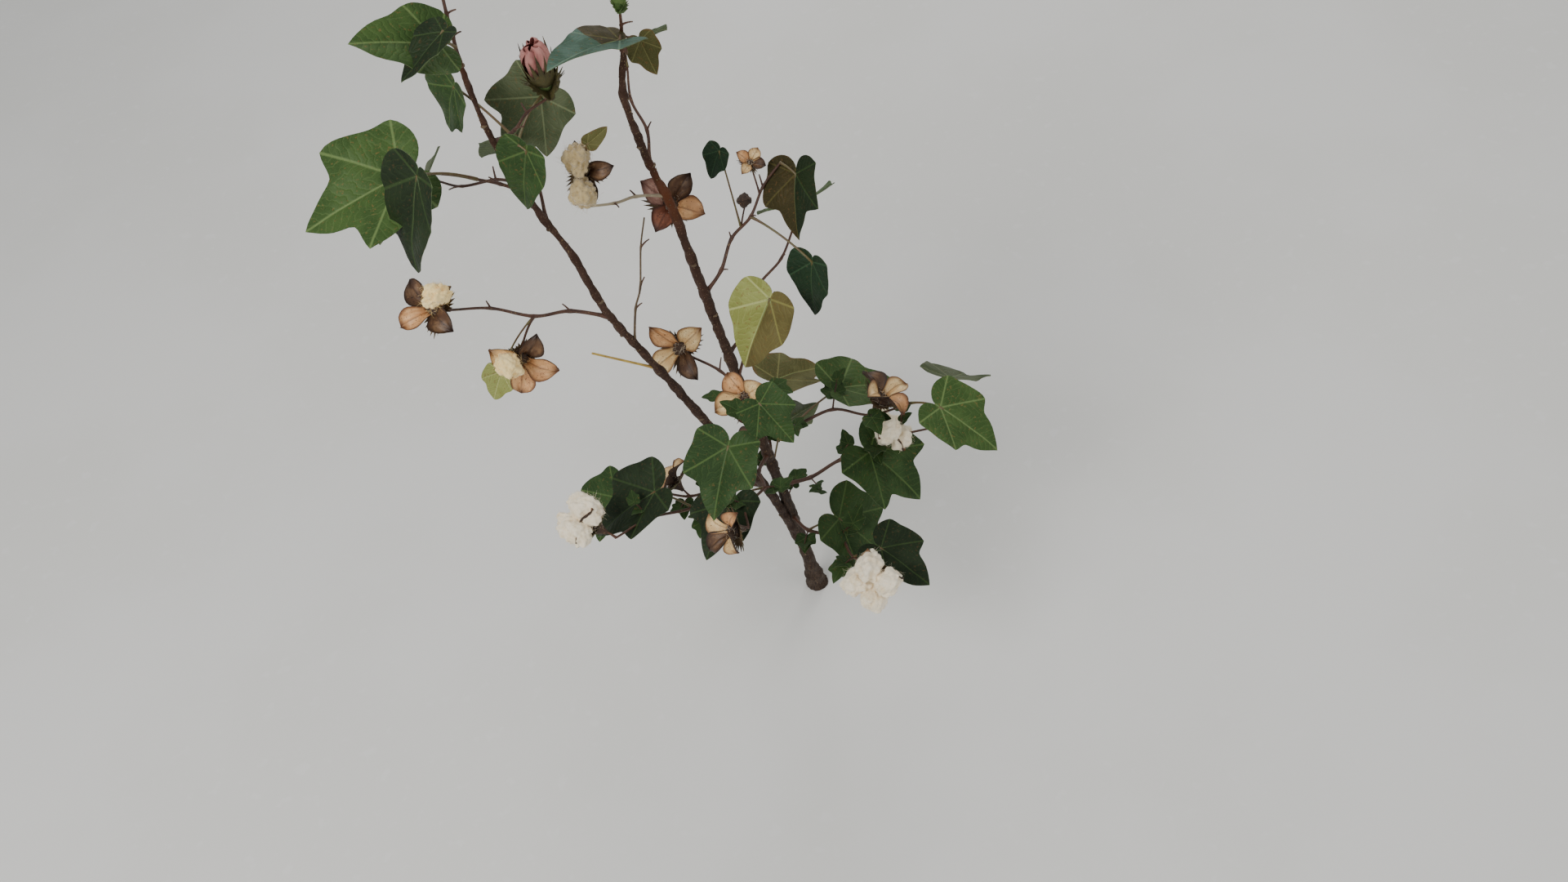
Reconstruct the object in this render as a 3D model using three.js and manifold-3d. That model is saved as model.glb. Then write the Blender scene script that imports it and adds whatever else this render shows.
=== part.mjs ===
// A cotton plant late in its season: a main stem, one long left bough, and sparse sprays of leaves,
// open burs, lint, a closed flower and young buds. Units are millimetres. The origin is the flat cut
// at ground level, +X is the plant's right, -Y its front and +Z is up.

import * as THREE from 'three';
import { mergeVertices } from 'three/addons/utils/BufferGeometryUtils.js';
import Module from 'manifold-3d';

const wasm = await Module();
wasm.setup();

// Driving dimensions of the limbs
const CLEARANCE = 0.3;
const LIMB_STEPS = 22;
const LIMB_SIDES = 9;
const ROOT_FLARE = 4.5;
const FLARE_HEIGHT = 22;
const TIP_SHARE = 0.9;
const TRUNK = {
  name: 'trunk',
  footRadius: 5.6,
  tipRadius: 2.1,
  places: [
    [1, 0, -15], [-3, 0, 65], [-12, 3, 190], [-21, 4, 312], [-29, 6, 432], [-34, 9, 510], [-42, 12, 567],
    [-45, 14, 619], [-36, 14, 658],
  ],
};
const BOUGH = {
  name: 'bough_left',
  footRadius: 4.2,
  tipRadius: 1.7,
  places: [
    [-3, 0, 58], [-22, -5, 172], [-62, -12, 314], [-76, -18, 369], [-101, -25, 459], [-111, -25, 528],
    [-124, -22, 574], [-136, -15, 640], [-138, -9, 698],
  ],
};

// Driving dimensions of twigs, leaves and fruit
const TWIG_SIDES = 5;
const TWIG_ZIGZAG = 0.07;
const TWIG_STRAY = [0.6, 1.2];
const TWIG_LIFT = [-0.4, 0.6];
const PETIOLE_SIDES = 4;
const PETIOLE_STEPS = 3;
const PETIOLE_RADIUS = 1.1;
const PETIOLE_BOW = 0.14;
const ROOT_SUNK = 0.06;
const LEAF_THICKNESS = 1.4;
const LEAF_RINGS = [0, 0.5, 1];
const PLAIN_RINGS = [0, 1];
const LEAF_HEART = 0.25;
const SMALL_LEAF = 40;
const BRACT_THICKNESS = 1;
const BRACT_FOLD = 0.3;
const BRACT_DROOP = -0.25;
const BRACT_LEAN = 42;
const FLOWER_BRACTS = 3;
const FLOWER_BRACT_SHARE = 0.62;
const FLOWER_BRACT_TURN = 75;
const VALVE_THICKNESS = 1.3;
const VALVE_WIDTHS = [0.1, 0.14, 0.36, 0.01];
const VALVE_HOLLOW = 0.3;
const VALVE_ROOT = 0.06;
const VALVE_LEAN = [12, 118];
const LOCK_DEPTH = 0.4;
const POD_SHAPE = { depth: 0.15, twist: 0.1 };
const COROLLA_SHAPE = { depth: 0.18, twist: 0.28 };
const FRUIT_STALK_SUNK = 3;
const LEAF_FOLD = 0.2;
const LEAF_DROOP = 0.16;
const LEAF_RIPPLE = 0.03;
const RIPPLE_WAVES = 5;

// One half of a leaf's outline: the angle from the midrib and the reach there, as a share of the
// midrib. A lobed blade has five points, and a plain one is a broad oval with a drawn-out tip.
const LOBED_HALF = [
  [0, 1], [14, 0.8], [27, 0.66], [46, 0.87], [80, 0.58], [108, 0.62], [144, 0.42], [180, 0.09],
];
const PLAIN_HALF = [
  [0, 1], [14, 0.8], [29, 0.61], [52, 0.46], [83, 0.38], [112, 0.3], [146, 0.17], [180, 0.07],
];
const BRACT_HALF = [[0, 1], [30, 0.72], [70, 0.42], [180, 0.16]];

const UP = new THREE.Vector3(0, 0, 1);
const SUN = new THREE.Vector3(0, -0.62, 0.78);
const TO_RADIANS = Math.PI / 180;

// What the sprays bear. A placed organ is given by its place in the plant and the way it points, and
// an organ that is only named grows by the spray's seeded rule.
function leaf(joint, heading, rise, length, more) {
  return { kind: 'leaf', joint, heading, rise, length, ...more };
}

function fruit(kind) {
  return (place, heading, rise, size, more) => ({ kind, place, heading, rise, size, ...more });
}

const bur = fruit('bur');
const boll = fruit('boll');
const pod = fruit('pod');
const flower = fruit('flower');

const SPRAYS = [
  {
    name: 'spray_top',
    limb: TRUNK, height: 658, tip: [-31, 9, 692], internodes: 3, radii: [1.9, 1.1], seed: 3,
    bears: [
      leaf([-36, -2, 677], -144, 26, 62, { from: 0.4, roll: 50, lobing: 0.1 }),
      leaf([-24, 24, 654], -74, -50, 25, { from: 0.3, roll: 10, lobing: 0.4 }),
      pod([-31, 9, 692], 40, 70, 13),
    ],
  },
  {
    name: 'spray_left_lint',
    limb: TRUNK, height: 528, tip: [-92, -30, 572], internodes: 3, radii: [1.5, 1.1], seed: 4,
    bears: [
      boll([-83, -30, 602], -100, 32, 46, { arms: [0, 180, 270], locks: 2, turn: 0 }),
      leaf([-74, -38, 631], 5, 25, 17, { roll: 30, lobing: 0 }),
    ],
  },
  {
    name: 'spray_upper_bur',
    limb: TRUNK, height: 464, tip: [-35, 38, 480], internodes: 1, radii: [1.6, 1.4], seed: 5,
    bears: [bur([-36, 42, 488], -85, 52, 56, { turn: 45 })],
  },
  {
    name: 'spray_right_upper',
    limb: TRUNK, height: 423, tip: [52, 38, 506], internodes: 5, radii: [2, 1.1], seed: 6,
    bears: [
      leaf([10, 52, 520], -164, -56, 26, { from: 0.5, roll: 20, lobing: 0.3 }),
      bur([30, 44, 508], -80, 50, 26, { from: 0.75 }),
      pod([21, 38, 478], -120, 40, 15, { from: 0.5 }),
      leaf([61, 26, 502], -115, -43, 49, { roll: 44, lobing: 0.7 }),
      leaf([57, -20, 454], -137, -70, 50, { from: 0.6, roll: 42, lobing: 0.2 }),
    ],
  },
  {
    name: 'spray_right_leaf',
    limb: TRUNK, height: 318, tip: [24, -28, 440], internodes: 2, radii: [1.7, 1.1], seed: 7,
    bears: [leaf([19, -33, 440], -158, -53, 66, { roll: 20, lobing: 0.2 })],
  },
  {
    name: 'spray_back_bur',
    limb: TRUNK, height: 300, tip: [-58, 62, 298], internodes: 2, radii: [1.9, 1.3], seed: 8,
    bears: [bur([-62, 66, 306], -110, 40, 62, { turn: 40 })],
  },
  {
    name: 'spray_front_upper',
    limb: TRUNK, height: 318, tip: [-8, -98, 374], internodes: 4, radii: [1.9, 1.1], seed: 9,
    bears: ['', 'bur', leaf([-8, -112, 418], -58, -31, 38, { lobing: 0.6 }), 'leaf'],
  },
  {
    name: 'spray_right_middle',
    limb: TRUNK, height: 250, tip: [112, -44, 290], internodes: 4, radii: [2.1, 1.1], seed: 10,
    bears: ['leaf', '', 'bur', 'leaf'],
  },
  {
    name: 'spray_right_low',
    limb: TRUNK, height: 165, tip: [132, -22, 222], internodes: 5, radii: [2.3, 1.1], seed: 11,
    bears: ['', 'leaf', 'boll', '', 'leaf'],
  },
  {
    name: 'spray_front_low',
    limb: TRUNK, height: 118, tip: [58, -118, 176], internodes: 4, radii: [2.3, 1.1], seed: 12,
    bears: ['leaf', '', 'leaf', 'boll'],
  },
  {
    name: 'spray_front_middle',
    limb: TRUNK, height: 212, tip: [-42, -118, 280], internodes: 4, radii: [2.2, 1.1], seed: 31,
    bears: ['', 'leaf', '', 'bur'],
  },
  {
    name: 'spray_back_low',
    limb: TRUNK, height: 105, tip: [-16, 118, 124], internodes: 4, radii: [2.2, 1.1], seed: 14,
    bears: ['', 'leaf', 'bur', 'leaf'],
  },
  {
    name: 'spray_back_right',
    limb: TRUNK, height: 350, tip: [56, 92, 388], internodes: 4, radii: [1.9, 1.1], seed: 15,
    bears: ['', leaf([66, 104, 398], 100, -40, 58, { lobing: 0.8, face: UP }), ''],
  },
  {
    name: 'spray_back_upper',
    limb: TRUNK, height: 560, tip: [-40, 84, 590], internodes: 3, radii: [1.6, 1], seed: 16,
    bears: [leaf([-38, 104, 596], 85, -35, 54, { lobing: 0.8, face: UP })],
  },
  {
    name: 'spray_left_tip',
    limb: BOUGH, height: 698, tip: [-130, -5, 772], internodes: 4, radii: [1.6, 1.1], seed: 17,
    bears: [
      leaf([-141, -34, 730], -155, 36, 57, { from: 0.15, roll: 15, lobing: 0.2 }),
      leaf([-134, -47, 747], -150, -14, 39, { from: 0.35, roll: 35, lobing: 0.1 }),
      leaf([-120, 8, 764], 40, 10, 34, { from: 0.75, lobing: 0.4 }),
      leaf([-140, 2, 776], 150, 20, 26, { from: 0.9, lobing: 0.3 }),
      pod([-130, -5, 772], 20, 75, 14),
    ],
  },
  {
    name: 'spray_left_fruiting',
    limb: BOUGH, height: 456, tip: [-203, -46, 524], internodes: 4, radii: [1.9, 1.1], seed: 18,
    bears: [
      bur([-210, -50, 532], -120, 50, 52, { turn: 50 }),
      bur([-172, -36, 452], -80, 10, 56, { from: 0.5, turn: 50 }),
      leaf([-190, -38, 442], -160, -56, 29, { from: 0.5, lobing: 0.3 }),
    ],
  },
  {
    name: 'spray_left_leaves',
    limb: BOUGH, height: 590, tip: [-153, -27, 616], internodes: 2, radii: [1.6, 1.2], seed: 19,
    bears: [
      leaf([-204.5, -8, 619], -164, -2, 73, { roll: 19, lobing: 0.8 }),
      leaf([-183, -54, 653], -164, -62, 80, { roll: 35, lobing: 0 }),
    ],
  },
  {
    name: 'spray_left_front',
    limb: BOUGH, height: 612, tip: [-117, -38, 644], internodes: 1, radii: [1.3, 1.1], seed: 20,
    bears: [leaf([-113, -42, 641], -174, -67, 52, { roll: 20, lobing: 0.1 })],
  },
  {
    name: 'spray_left_back',
    limb: BOUGH, height: 560, tip: [-126, 28, 594], internodes: 2, radii: [1.6, 1.2], seed: 21,
    bears: [
      leaf([-159, 60, 629], 151, -59, 52, { roll: 20, lobing: 0.4 }),
      leaf([-106, 80, 587], -166, -36, 52, { lobing: 0.9 }),
      leaf([-134, 88, 548], 100, -48, 56, { lobing: 0.7, face: UP }),
    ],
  },
  {
    name: 'spray_left_flower',
    limb: BOUGH, height: 633, tip: [-96, 14, 634], internodes: 3, radii: [1.5, 1.1], seed: 22,
    bears: [flower([-93, 18, 642], -90, 80, 42)],
  },
  {
    name: 'spray_left_bare',
    limb: BOUGH, height: 418, tip: [-54, -22, 541], internodes: 4, radii: [1.2, 0.7], seed: 23,
    bears: [],
  },
  {
    name: 'spray_left_stalk',
    limb: BOUGH, height: 381, tip: [-122, -32, 430], internodes: 1, radii: [1.3, 1], seed: 24,
    bears: [],
  },
  {
    name: 'spray_left_low',
    limb: BOUGH, height: 196, tip: [-150, -86, 268], internodes: 4, radii: [2.1, 1.1], seed: 25,
    bears: ['', 'leaf', '', 'boll'],
  },
  {
    name: 'spray_left_side',
    limb: BOUGH, height: 182, tip: [-156, 26, 170], internodes: 4, radii: [1.9, 1.1], seed: 28,
    bears: ['', 'bur', 'leaf', ''],
  },
  {
    name: 'spray_left_far',
    limb: BOUGH, height: 598, tip: [-192, 42, 566], internodes: 3, radii: [1.6, 1], seed: 27,
    bears: ['', '', leaf([-212, 62, 546], 145, -50, 66, { lobing: 0.8, face: UP })],
  },
];

// The ways that a placeless organ grows by the seeded rule, as [least, most]
const RULE = {
  sideTurn: [40, 75],
  leafStalk: [34, 52],
  leafStalkRise: [20, 50],
  leafDroop: [-45, -12],
  leafTurn: [-25, 25],
  leafLength: [48, 68],
  lobing: [0.5, 1],
  fruitStalk: [10, 18],
  fruitRise: [25, 60],
  burSize: [46, 56],
};

// A repeatable stream of numbers from 0 to 1
function seeded(seed) {
  let state = seed * 7919;
  return () => {
    state = (state + 0x6d2b79f5) | 0;
    let mixed = Math.imul(state ^ (state >>> 15), 1 | state);
    mixed = (mixed + Math.imul(mixed ^ (mixed >>> 7), 61 | mixed)) ^ mixed;
    return ((mixed ^ (mixed >>> 14)) >>> 0) / 4294967296;
  };
}

function draw(random, [least, most]) {
  return least + (most - least) * random();
}

function vector(place) {
  return new THREE.Vector3(...place);
}

// The unit vector with a heading in the ground plane from +X towards +Y, and a rise over it
function pointing(heading, rise) {
  const across = Math.cos(rise * TO_RADIANS);
  const x = across * Math.cos(heading * TO_RADIANS);
  const y = across * Math.sin(heading * TO_RADIANS);
  return new THREE.Vector3(x, y, Math.sin(rise * TO_RADIANS));
}

// A frame at a place whose X runs along a direction and whose Z is as near to the face as it can be,
// after a roll about X
function frameAt(place, along, face, roll = 0) {
  const x = along.clone().normalize();
  const z = face.clone().addScaledVector(x, -face.dot(x)).normalize();
  z.applyAxisAngle(x, roll * TO_RADIANS);
  const y = z.clone().cross(x);
  return new THREE.Matrix4().makeBasis(x, y, z).setPosition(place);
}

// A solid from a list of triangle corners. It is turned the right way out and its corners are merged.
function solidFrom(corners) {
  let volume = 0;
  for (let i = 0; i < corners.length; i += 3) {
    volume += corners[i].dot(corners[i + 1].clone().cross(corners[i + 2]));
  }
  const ordered = volume < 0 ? corners.slice().reverse() : corners;
  const loose = new THREE.BufferGeometry().setFromPoints(ordered);
  const merged = mergeVertices(loose, 0.001);
  const index = merged.index.array;
  const triangles = [];
  for (let i = 0; i < index.length; i += 3) {
    const [a, b, c] = [index[i], index[i + 1], index[i + 2]];
    if (a !== b && b !== c && c !== a) {
      triangles.push(a, b, c);
    }
  }
  const mesh = new wasm.Mesh({
    numProp: 3,
    vertProperties: new Float32Array(merged.attributes.position.array),
    triVerts: new Uint32Array(triangles),
  });
  return new wasm.Manifold(mesh);
}

function join(solids) {
  return solids.reduce((whole, next) => whole.add(next));
}

// The largest body of a solid, with any sealed hollow filled and any loose scrap dropped
function wholeBody(solid) {
  const bodies = solid.decompose();
  return bodies.reduce((largest, body) => (body.volume() > largest.volume() ? body : largest));
}

function quad(corners, a, b, c, d) {
  corners.push(a, b, c, a, c, d);
}

// A thin plate between two grids of points. A round one closes on itself along each row, and its first
// row is one point.
function plate(upper, lower, round) {
  const corners = [];
  const last = upper.length - 1;
  const far = upper[0].length - 1;
  for (let c = 0; c < far; c += 1) {
    for (let r = 0; r < last; r += 1) {
      quad(corners, upper[r][c], upper[r + 1][c], upper[r + 1][c + 1], upper[r][c + 1]);
      quad(corners, lower[r][c + 1], lower[r + 1][c + 1], lower[r + 1][c], lower[r][c]);
    }
    quad(corners, upper[last][c], lower[last][c], lower[last][c + 1], upper[last][c + 1]);
    if (!round) {
      quad(corners, upper[0][c + 1], lower[0][c + 1], lower[0][c], upper[0][c]);
    }
  }
  for (let r = 0; r < last && !round; r += 1) {
    quad(corners, upper[r][0], lower[r][0], lower[r + 1][0], upper[r + 1][0]);
    quad(corners, upper[r + 1][far], lower[r + 1][far], lower[r][far], upper[r][far]);
  }
  return solidFrom(corners);
}

// A tapering tube through points, with one radius for each and flat ends
function tube(points, radii, sides) {
  const rings = [];
  let side = new THREE.Vector3(1, 0, 0);
  points.forEach((point, i) => {
    const ahead = points[Math.min(i + 1, points.length - 1)];
    const behind = points[Math.max(i - 1, 0)];
    const along = ahead.clone().sub(behind).normalize();
    if (i === 0 && Math.abs(along.x) > 0.9) {
      side = new THREE.Vector3(0, 1, 0);
    }
    side = side.clone().addScaledVector(along, -side.dot(along)).normalize();
    const other = along.clone().cross(side);
    const ring = [];
    for (let k = 0; k < sides; k += 1) {
      const angle = (2 * Math.PI * k) / sides;
      const spoke = side.clone().multiplyScalar(Math.cos(angle)).addScaledVector(other, Math.sin(angle));
      ring.push(point.clone().addScaledVector(spoke, radii[i]));
    }
    rings.push(ring);
  });
  const corners = [];
  const end = rings.length - 1;
  for (let k = 0; k < sides; k += 1) {
    const next = (k + 1) % sides;
    for (let i = 0; i < end; i += 1) {
      quad(corners, rings[i][k], rings[i][next], rings[i + 1][next], rings[i + 1][k]);
    }
    corners.push(points[0], rings[0][next], rings[0][k]);
    corners.push(points[end], rings[end][k], rings[end][next]);
  }
  return solidFrom(corners);
}

// Limbs
function limbLine(limb) {
  const curve = new THREE.CatmullRomCurve3(limb.places.map(vector), false, 'catmullrom', 0.5);
  return curve.getPoints(LIMB_STEPS);
}

function limbRadius(limb, share, height) {
  const flare = limb === TRUNK ? ROOT_FLARE * Math.exp(-height / FLARE_HEIGHT) : 0;
  return limb.footRadius + (limb.tipRadius - limb.footRadius) * share + flare;
}

// A limb's solid, grown by a margin all round and past its tip
function limbSolid(limb, margin = 0) {
  const line = limbLine(limb);
  const radii = line.map((point, i) => limbRadius(limb, i / LIMB_STEPS, point.z) + margin);
  const tip = line[LIMB_STEPS];
  const along = tip.clone().sub(line[LIMB_STEPS - 1]).normalize();
  tip.addScaledVector(along, margin);
  return tube(line, radii, LIMB_SIDES);
}

// The point on a limb's line at a height, or just short of its tip
function limbPoint(limb, height) {
  const line = limbLine(limb);
  const top = Math.max(line.findIndex((point) => point.z >= height - 1), 1);
  const next = line[top];
  const last = line[top - 1];
  const share = (height - last.z) / (next.z - last.z);
  return last.clone().lerp(next, Math.min(share, top === LIMB_STEPS ? TIP_SHARE : 1));
}

// Leaves
function leafOutline(lobing) {
  return LOBED_HALF.map(([angle, reach], i) => [angle, reach * lobing + PLAIN_HALF[i][1] * (1 - lobing)]);
}

// A blade in its own frame: X along the midrib, Z out of its upper face
function blade(half, frame, length, thickness, { fold, droop, ripple }) {
  const mirrored = half.slice(1, -1).reverse().map(([angle, reach]) => [-angle, reach]);
  const around = [...half, ...mirrored, half[0]];
  const upper = [];
  const lower = [];
  const rings = length > SMALL_LEAF ? LEAF_RINGS : PLAIN_RINGS;
  rings.forEach((ring) => {
    const top = [];
    const bottom = [];
    around.forEach((place, i) => {
      const [angle, reach] = ring < 1 ? around[i - (i % 2)] : place;
      const x = LEAF_HEART * (1 - ring) + ring * reach * Math.cos(angle * TO_RADIANS);
      const y = ring * reach * Math.sin(angle * TO_RADIANS);
      const wave = ripple * ring * Math.sin(RIPPLE_WAVES * angle * TO_RADIANS);
      const z = fold * Math.abs(y) - droop * x * Math.abs(x) + wave;
      const step = thickness / 2;
      top.push(new THREE.Vector3(x * length, y * length, z * length + step).applyMatrix4(frame));
      bottom.push(new THREE.Vector3(x * length, y * length, z * length - step).applyMatrix4(frame));
    });
    upper.push(top);
    lower.push(bottom);
  });
  return plate(upper, lower, true);
}

// A stalk from a place on its twig to an organ, a little bowed up, that ends inside it
function stalk(from, to, into, radius) {
  const middle = from.clone().lerp(to, 0.5).addScaledVector(UP, PETIOLE_BOW * from.distanceTo(to));
  const curve = new THREE.QuadraticBezierCurve3(from, middle, to);
  const line = [...curve.getPoints(PETIOLE_STEPS), into];
  return tube(line, line.map(() => radius), PETIOLE_SIDES);
}

function makeLeaf(organ, start) {
  const joint = vector(organ.joint);
  const along = pointing(organ.heading, organ.rise);
  const frame = frameAt(joint, along, organ.face ?? SUN, organ.roll ?? 0);
  const into = joint.clone().addScaledVector(along, ROOT_SUNK * organ.length);
  const half = leafOutline(organ.lobing ?? 1);
  const shape = { fold: LEAF_FOLD, droop: LEAF_DROOP, ripple: LEAF_RIPPLE };
  return [
    blade(half, frame, organ.length, LEAF_THICKNESS, shape),
    stalk(start, joint, into, PETIOLE_RADIUS),
  ];
}

// Fruit
// One valve of an open boll: a boat-shaped plate that leaves the base near the axis and curls outwards
function valve(frame, size, angle) {
  const opening = VALVE_LEAN.map((degrees) => degrees * TO_RADIANS);
  const bend = opening[1] - opening[0];
  const curl = ((0.5 - VALVE_ROOT) * size) / (Math.cos(opening[0]) - Math.cos(opening[1]));
  const upper = [];
  const lower = [];
  const turn = new THREE.Matrix4().makeRotationZ(angle * TO_RADIANS);
  VALVE_WIDTHS.forEach((share, r) => {
    const lean = opening[0] + (bend * r) / (VALVE_WIDTHS.length - 1);
    const width = share * size;
    const out = VALVE_ROOT * size + curl * (Math.cos(opening[0]) - Math.cos(lean));
    const height = curl * (Math.sin(lean) - Math.sin(opening[0]));
    const inward = new THREE.Vector3(-Math.cos(lean), 0, Math.sin(lean));
    const rows = [[], []];
    [-1, 0, 1].forEach((across) => {
      const hollow = VALVE_HOLLOW * width * across * across;
      const place = new THREE.Vector3(out, 0.5 * width * across, height).addScaledVector(inward, hollow);
      const step = VALVE_THICKNESS / 2;
      rows[0].push(place.clone().addScaledVector(inward, step).applyMatrix4(turn).applyMatrix4(frame));
      rows[1].push(place.clone().addScaledVector(inward, -step).applyMatrix4(turn).applyMatrix4(frame));
    });
    upper.push(rows[0]);
    lower.push(rows[1]);
  });
  return plate(upper, lower, false);
}

// A closed fluted body about the frame's Z: a bud, a dry boll, lint or a furled flower. Its profile
// gives [height, radius] as shares of its length.
function fluted(frame, length, profile, flutes, { depth = 0, twist = 0, turn = 0 } = {}) {
  const sides = flutes * 2;
  const rings = profile.map(([height, radius], i) => {
    const ring = [];
    for (let k = 0; k < sides; k += 1) {
      const angle = (2 * Math.PI * k) / sides + twist * i + turn * TO_RADIANS;
      const reach = length * radius * (k % 2 ? 1 - depth : 1);
      const place = new THREE.Vector3(reach * Math.cos(angle), reach * Math.sin(angle), height * length);
      ring.push(place.applyMatrix4(frame));
    }
    return ring;
  });
  const corners = [];
  const end = rings.length - 1;
  const foot = new THREE.Vector3(0, 0, profile[0][0] * length).applyMatrix4(frame);
  const crest = new THREE.Vector3(0, 0, profile[end][0] * length).applyMatrix4(frame);
  for (let k = 0; k < sides; k += 1) {
    const next = (k + 1) % sides;
    for (let i = 0; i < end; i += 1) {
      quad(corners, rings[i][k], rings[i][next], rings[i + 1][next], rings[i + 1][k]);
    }
    corners.push(foot, rings[0][next], rings[0][k]);
    corners.push(crest, rings[end][k], rings[end][next]);
  }
  return solidFrom(corners);
}

const RECEPTACLE = [[-0.07, 0.07], [0.09, 0.16]];
const LINT = [[0.06, 0.12], [0.16, 0.42], [0.36, 0.5], [0.56, 0.38], [0.64, 0.1]];
const POD = [[-0.1, 0.08], [0.05, 0.3], [0.4, 0.38], [0.75, 0.24], [1, 0.04]];
const COROLLA = [[-0.05, 0.12], [0.15, 0.25], [0.7, 0.33], [1, 0.1]];

// The leafy cup under a flower: broad bracts that lean out of its base
function bracts(frame, length) {
  const solids = [];
  const shape = { fold: BRACT_FOLD, droop: BRACT_DROOP, ripple: LEAF_RIPPLE };
  for (let i = 0; i < FLOWER_BRACTS; i += 1) {
    const along = pointing(FLOWER_BRACT_TURN + (360 * i) / FLOWER_BRACTS, BRACT_LEAN);
    const own = frameAt(new THREE.Vector3(0, 0, 0), along, UP);
    solids.push(blade(BRACT_HALF, own.premultiply(frame), length, BRACT_THICKNESS, shape));
  }
  return solids;
}

function fruitStalk(organ, start) {
  const place = vector(organ.place);
  const into = place.clone().addScaledVector(pointing(organ.heading, organ.rise), FRUIT_STALK_SUNK);
  return stalk(start, place, into, PETIOLE_RADIUS);
}

function fruitFrame(organ) {
  const axis = pointing(organ.heading, organ.rise);
  const upright = Math.abs(axis.z) > 0.95;
  const flat = upright ? new THREE.Vector3(1, 0, 0) : UP;
  const across = axis.clone().cross(flat).cross(axis);
  return frameAt(vector(organ.place), across, axis);
}

function makeBur(organ, start, random) {
  const frame = fruitFrame(organ);
  const arms = organ.arms ?? [0, 90, 180, 270];
  const turn = organ.turn ?? draw(random, [0, 90]);
  const solids = [fluted(frame, organ.size, RECEPTACLE, 2, { turn: turn + 45 })];
  arms.forEach((arm) => solids.push(valve(frame, organ.size, arm + turn)));
  if (organ.kind === 'boll') {
    const shape = { depth: LOCK_DEPTH, turn: turn + arms[0] };
    solids.push(fluted(frame, organ.size, LINT, organ.locks ?? 4, shape));
  }
  solids.push(fruitStalk(organ, start));
  return solids;
}

function makePod(organ, start) {
  const frame = fruitFrame(organ);
  return [fluted(frame, organ.size, POD, 3, POD_SHAPE), fruitStalk(organ, start)];
}

function makeFlower(organ, start) {
  const frame = fruitFrame(organ);
  return [
    fluted(frame, organ.size, COROLLA, 5, COROLLA_SHAPE),
    ...bracts(frame, FLOWER_BRACT_SHARE * organ.size),
    fruitStalk(organ, start),
  ];
}

const MAKERS = { leaf: makeLeaf, bur: makeBur, boll: makeBur, pod: makePod, flower: makeFlower };

// Sprays
// A twig's joints, from inside its limb to its tip. They stray to one side and the other in turn.
function twigLine(spray, random) {
  const start = limbPoint(spray.limb, spray.height);
  const tip = vector(spray.tip);
  const along = tip.clone().sub(start);
  const upright = Math.abs(along.z) > 0.9 * along.length();
  const sideways = along.clone().cross(upright ? new THREE.Vector3(1, 0, 0) : UP);
  const stray = along.length() * TWIG_ZIGZAG * (2 / spray.internodes);
  sideways.normalize();
  const line = [start];
  for (let i = 1; i < spray.internodes; i += 1) {
    const joint = start.clone().lerp(tip, i / spray.internodes);
    joint.addScaledVector(sideways, (i % 2 ? stray : -stray) * draw(random, TWIG_STRAY));
    joint.addScaledVector(UP, stray * draw(random, TWIG_LIFT));
    line.push(joint);
  }
  line.push(tip);
  return line;
}

// The place and pose of an organ that is only named, at a joint of its twig
function grown(kind, line, joint, random) {
  const point = line[joint];
  const along = point.clone().sub(line[joint - 1]);
  const turn = (joint % 2 ? 1 : -1) * draw(random, RULE.sideTurn);
  const heading = Math.atan2(along.y, along.x) / TO_RADIANS + turn;
  if (kind === 'leaf') {
    const stem = pointing(heading, draw(random, RULE.leafStalkRise));
    const joined = point.clone().addScaledVector(stem, draw(random, RULE.leafStalk)).toArray();
    const turned = heading + draw(random, RULE.leafTurn);
    const droop = draw(random, RULE.leafDroop);
    const length = draw(random, RULE.leafLength);
    return leaf(joined, turned, droop, length, { face: UP, lobing: draw(random, RULE.lobing) });
  }
  const rise = draw(random, RULE.fruitRise);
  const place = point.clone().addScaledVector(pointing(heading, rise), draw(random, RULE.fruitStalk));
  return fruit(kind)(place.toArray(), heading, rise, draw(random, RULE.burSize));
}

function pointOnTwig(line, share) {
  const reach = share * (line.length - 1);
  const joint = Math.min(Math.floor(reach), line.length - 2);
  return line[joint].clone().lerp(line[joint + 1], reach - joint);
}

// A spray's bare twig, cut clear of the limbs
function sprout(spray, limbs) {
  const random = seeded(spray.seed);
  const line = twigLine(spray, random);
  const [thick, thin] = spray.radii;
  const radii = line.map((point, i) => thick + ((thin - thick) * i) / (line.length - 1));
  const twig = wholeBody(tube(line, radii, TWIG_SIDES).subtract(limbs));
  return { spray, random, line, solid: twig };
}

// A sprout becomes one solid with each of its organs that stays above the ground, off the limbs and
// clear of the other sprouts
function bear(one, others, limbs) {
  one.spray.bears.forEach((entry, i) => {
    if (entry === '') {
      return;
    }
    const named = typeof entry === 'string';
    const organ = named ? grown(entry, one.line, i + 1, one.random) : entry;
    const start = named ? one.line[i + 1] : pointOnTwig(one.line, organ.from ?? 1);
    const grownOn = join(MAKERS[organ.kind](organ, start, one.random));
    const above = grownOn.boundingBox().min[2] > 0;
    const offLimbs = grownOn.intersect(limbs).isEmpty();
    const isClear = others.every((other) => other.solid.minGap(grownOn, 2 * CLEARANCE) >= CLEARANCE);
    if (above && offLimbs && isClear) {
      one.solid = one.solid.add(grownOn);
    }
  });
  one.solid = wholeBody(one.solid);
}

// The plant
const BARK = new THREE.MeshStandardMaterial({ color: 0x4a2c22, roughness: 0.8, metalness: 0 });
const LEAFY = new THREE.MeshStandardMaterial({ color: 0x4a6a34, roughness: 0.6, metalness: 0 });

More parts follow.
